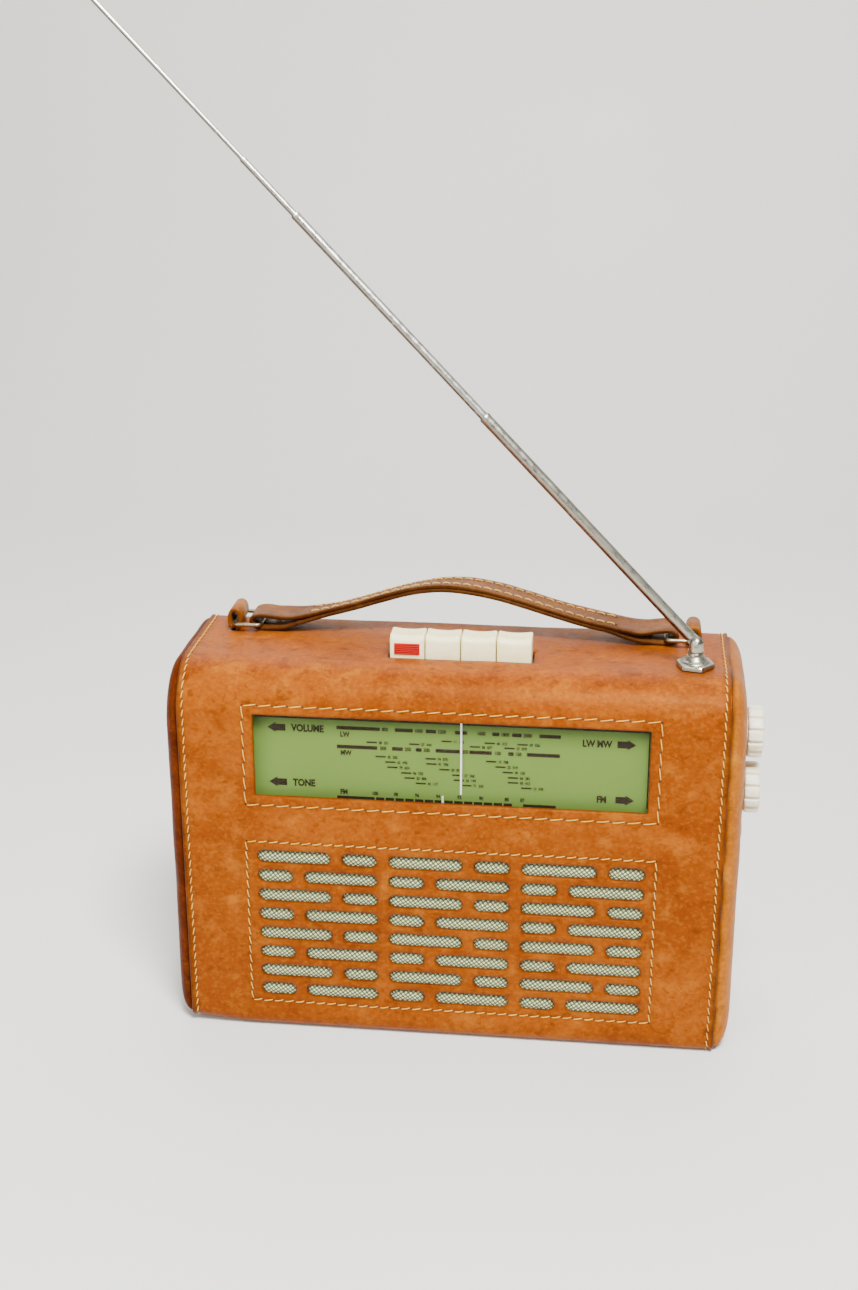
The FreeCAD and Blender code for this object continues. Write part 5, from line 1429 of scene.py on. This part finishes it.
def dial_print():
    """Bars, ticks, arrows and plain numbers on the scale, as thin raised ink, with two dark strips at its top and
    right edges that are painted shade.
    """
    ink = Builder()
    face = box_mm("dial_scale")[0][1]

    def bar(x0, x1, z, tall):
        ink.slab((x0, face - 0.05, z - tall / 2), (x1, face + 0.01, z + tall / 2))

    def arrow(tip, tail, z):
        neck = tip + math.copysign(4.3, tail - tip)
        outline = [(tip, z), (neck, z + 2.8), (neck, z + 1.85), (tail, z + 1.85), (tail, z - 1.85),
                   (neck, z - 1.85), (neck, z - 2.8)]
        ink.rings([[Vector((x, y, up)) for x, up in outline] for y in (face - 0.05, face + 0.01)])

    for tip, tail, z in ((-93.0, -83.7, 170.7), (-93.0, -83.7, 140.6), (92.3, 83.0, 169.2),
                         (92.3, 83.0, 139.1)):
        arrow(tip, tail, z)
    fm_row = [(-58.0, -38.7)] + [(-38.0 + k * 5.0, -33.7 + k * 5.0) for k in range(14)] + [(36.9, 53.4)]
    for row, z in ((LONG_WAVE, 171.9), (MIDDLE_WAVE, 161.6), (fm_row, 133.4)):
        for low, high in row:
            bar(low, high, z, 2.0)
    # Painted shade: a dark strip along the scale's top edge and one down its right edge, under the leather's edge
    bar(-99.2, 99.2, 177.0, 2.2)
    ink.slab((98.5, face - 0.05, 135.0), (99.2, face + 0.01, 175.9))
    words = list(PRINTED) + [(text, x, z, NUMBER_TALL) for z, row in NUMBERS for text, x in row]
    for row, (z, starts) in enumerate(STATIONS):
        for k, at in enumerate(starts):
            bar(at, at + 5.3, z, 0.9)
            number = f"{(row * 17 + k * 29) % 88 + 11}  {(row * 131 + k * 213) % 900 + 100}"
            words.append((number, at + 6.1, z - 0.75, STATION_TALL))
    ink.put("dial_marks_and_painted_shade", "dial_ink", "case", "dial_green")
    combined = bmesh.new()
    for text, x, z, tall in words:
        word = printed_word(text, x, z, tall, face - 0.03)
        combined.from_mesh(word)
        bpy.data.meshes.remove(word)
    mesh = bpy.data.meshes.new("dial_numbers")
    combined.to_mesh(mesh)
    combined.free()
    place(finish_object("dial_numbers", mesh, MATERIALS["dial_ink"]), "case", "dial_green")


def grille_cloth():
    low, high = box_mm("grille_cloth")
    x_lines = spread_lines(low[0], high[0], 2.5, [])
    z_lines = spread_lines(low[2], high[2], 1.4, [])
    slots = grille_openings()

    def slot_distance(z, x):
        return min(hole.edge_distance(u_front(z), x) for hole in slots)

    def shadow(z, x):
        above = smooth(slot_distance(z + 1.6, x) / 1.4 + 0.5)
        return clamp(0.25 * bell(slot_distance(z, x), 1.0) + 0.75 * above)

    def laid(z, x, lift=0.0):
        wave = 0.10 * noise.noise(Vector((x, 0, z)) / 13)
        pillow = smooth(-slot_distance(z, x) / 2.5)
        return Vector((x, low[1] + 0.12 + wave - 0.9 * pillow if lift == 0 else high[1], z))

    piece = sheet_mesh("speaker_cloth", z_lines, x_lines, [], laid, MATERIALS["cloth"], 0.4, shadow)
    place(piece, "case", "cloth", "grille_cloth")


# ---------------------------------------------------------------- carried-over pieces and the studio

def paint_frame():
    """Each CAD node keeps its shape and takes its slot's material."""
    slots = {part["node"]: part["material_slot"] for part in frame["record"]["subparts"]}
    for name, piece in frame["nodes"].items():
        piece.data.materials.clear()
        piece.data.materials.append(MATERIALS[slots[name]])


def studio():
    stage = MATERIALS["stage"] = plain("pale_floor", (0.82, 0.81, 0.76), 0.6, spread=0.01, size=400.0)
    reach, rise, bend, back, ground = 3000.0, 2200.0, 500.0, 900.0, -0.3
    points = []
    profile = [(-reach, ground), (back, ground)]
    for k in range(1, 11):
        turn = k / 10 * QUARTER
        profile.append((back + bend * math.sin(turn), ground + bend - bend * math.cos(turn)))
    profile.append((back + bend, rise))
    for x in (-reach, reach):
        points += [Vector((x, y, z)) for y, z in profile]
    count = len(profile)
    faces = [(k, k + 1, count + k + 1, count + k) for k in range(count - 1)]
    floor = finish_object("studio_floor", new_mesh("studio_floor", points, faces), stage, 60)
    floor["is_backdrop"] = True
    world = bpy.data.worlds.new("studio")
    bpy.context.scene.world = world
    world.use_nodes = True
    sky = world.node_tree.nodes["Background"].inputs
    sky["Color"].default_value = (1.0, 0.98, 0.93, 1)
    sky["Strength"].default_value = 0.36
    aim = Vector((0.0, 0.0, 0.12))
    for name, where, size, power in (("key", (0.30, -0.85, 1.55), 0.50, 72),
                                     ("fill", (-0.95, -1.25, 0.75), 1.0, 16),
                                     ("top", (-0.1, 0.65, 1.4), 1.1, 14)):
        light = bpy.data.lights.new(name, "AREA")
        light.size = size
        light.energy = power
        lamp = bpy.data.objects.new(name, light)
        lamp.location = where
        lamp.rotation_euler = (aim - Vector(where)).to_track_quat("-Z", "Y").to_euler()
        bpy.context.collection.objects.link(lamp)


def camera():
    """Looks down at the front from a little to the right, as a standing viewer would."""
    pitch, yaw, roll = math.radians(20.02), math.radians(-6.68), math.radians(0.11)
    data = bpy.data.cameras.new("view")
    data.sensor_width = 36.0
    data.lens = 48.58
    data.clip_end = 20.0
    eye = bpy.data.objects.new("view", data)
    eye.matrix_world = (Matrix.Translation(Vector((82.67, -835.04, 510.29)) * MM)
                        @ Matrix.Rotation(-yaw, 4, "Z") @ Matrix.Rotation(QUARTER - pitch, 4, "X")
                        @ Matrix.Rotation(-roll, 4, "Z"))
    bpy.context.collection.objects.link(eye)
    bpy.context.scene.camera = eye


camera()
paint_frame()
studio()
place(leather_wrap(), "case", "leather_tan", "leather_wrap")
wrap_stitching()
end_panel(-1, "left_moulded_end", "leather_end_dark")
end_panel(1, "right_moulded_end", "leather_end_light")
rear_flap()
flap_stitching()
for number in range(1, 5):
    key_cap(number)
key_marker()
for knob_name, knob_side in KNOBS:
    knob(knob_name, knob_side)
knob_washers()
earphone_socket()
studs()
antenna()
handle_strap()
strap_stitching()
rivets()
ring("ring_left")
ring("ring_right")
handle_tabs()
dial_print()
grille_cloth()

for label, pair in (("cad", cad_bounds), ("visual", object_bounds())):
    json.dumps({label: [[float(c) for c in corner] for corner in pair]}) + "\n"
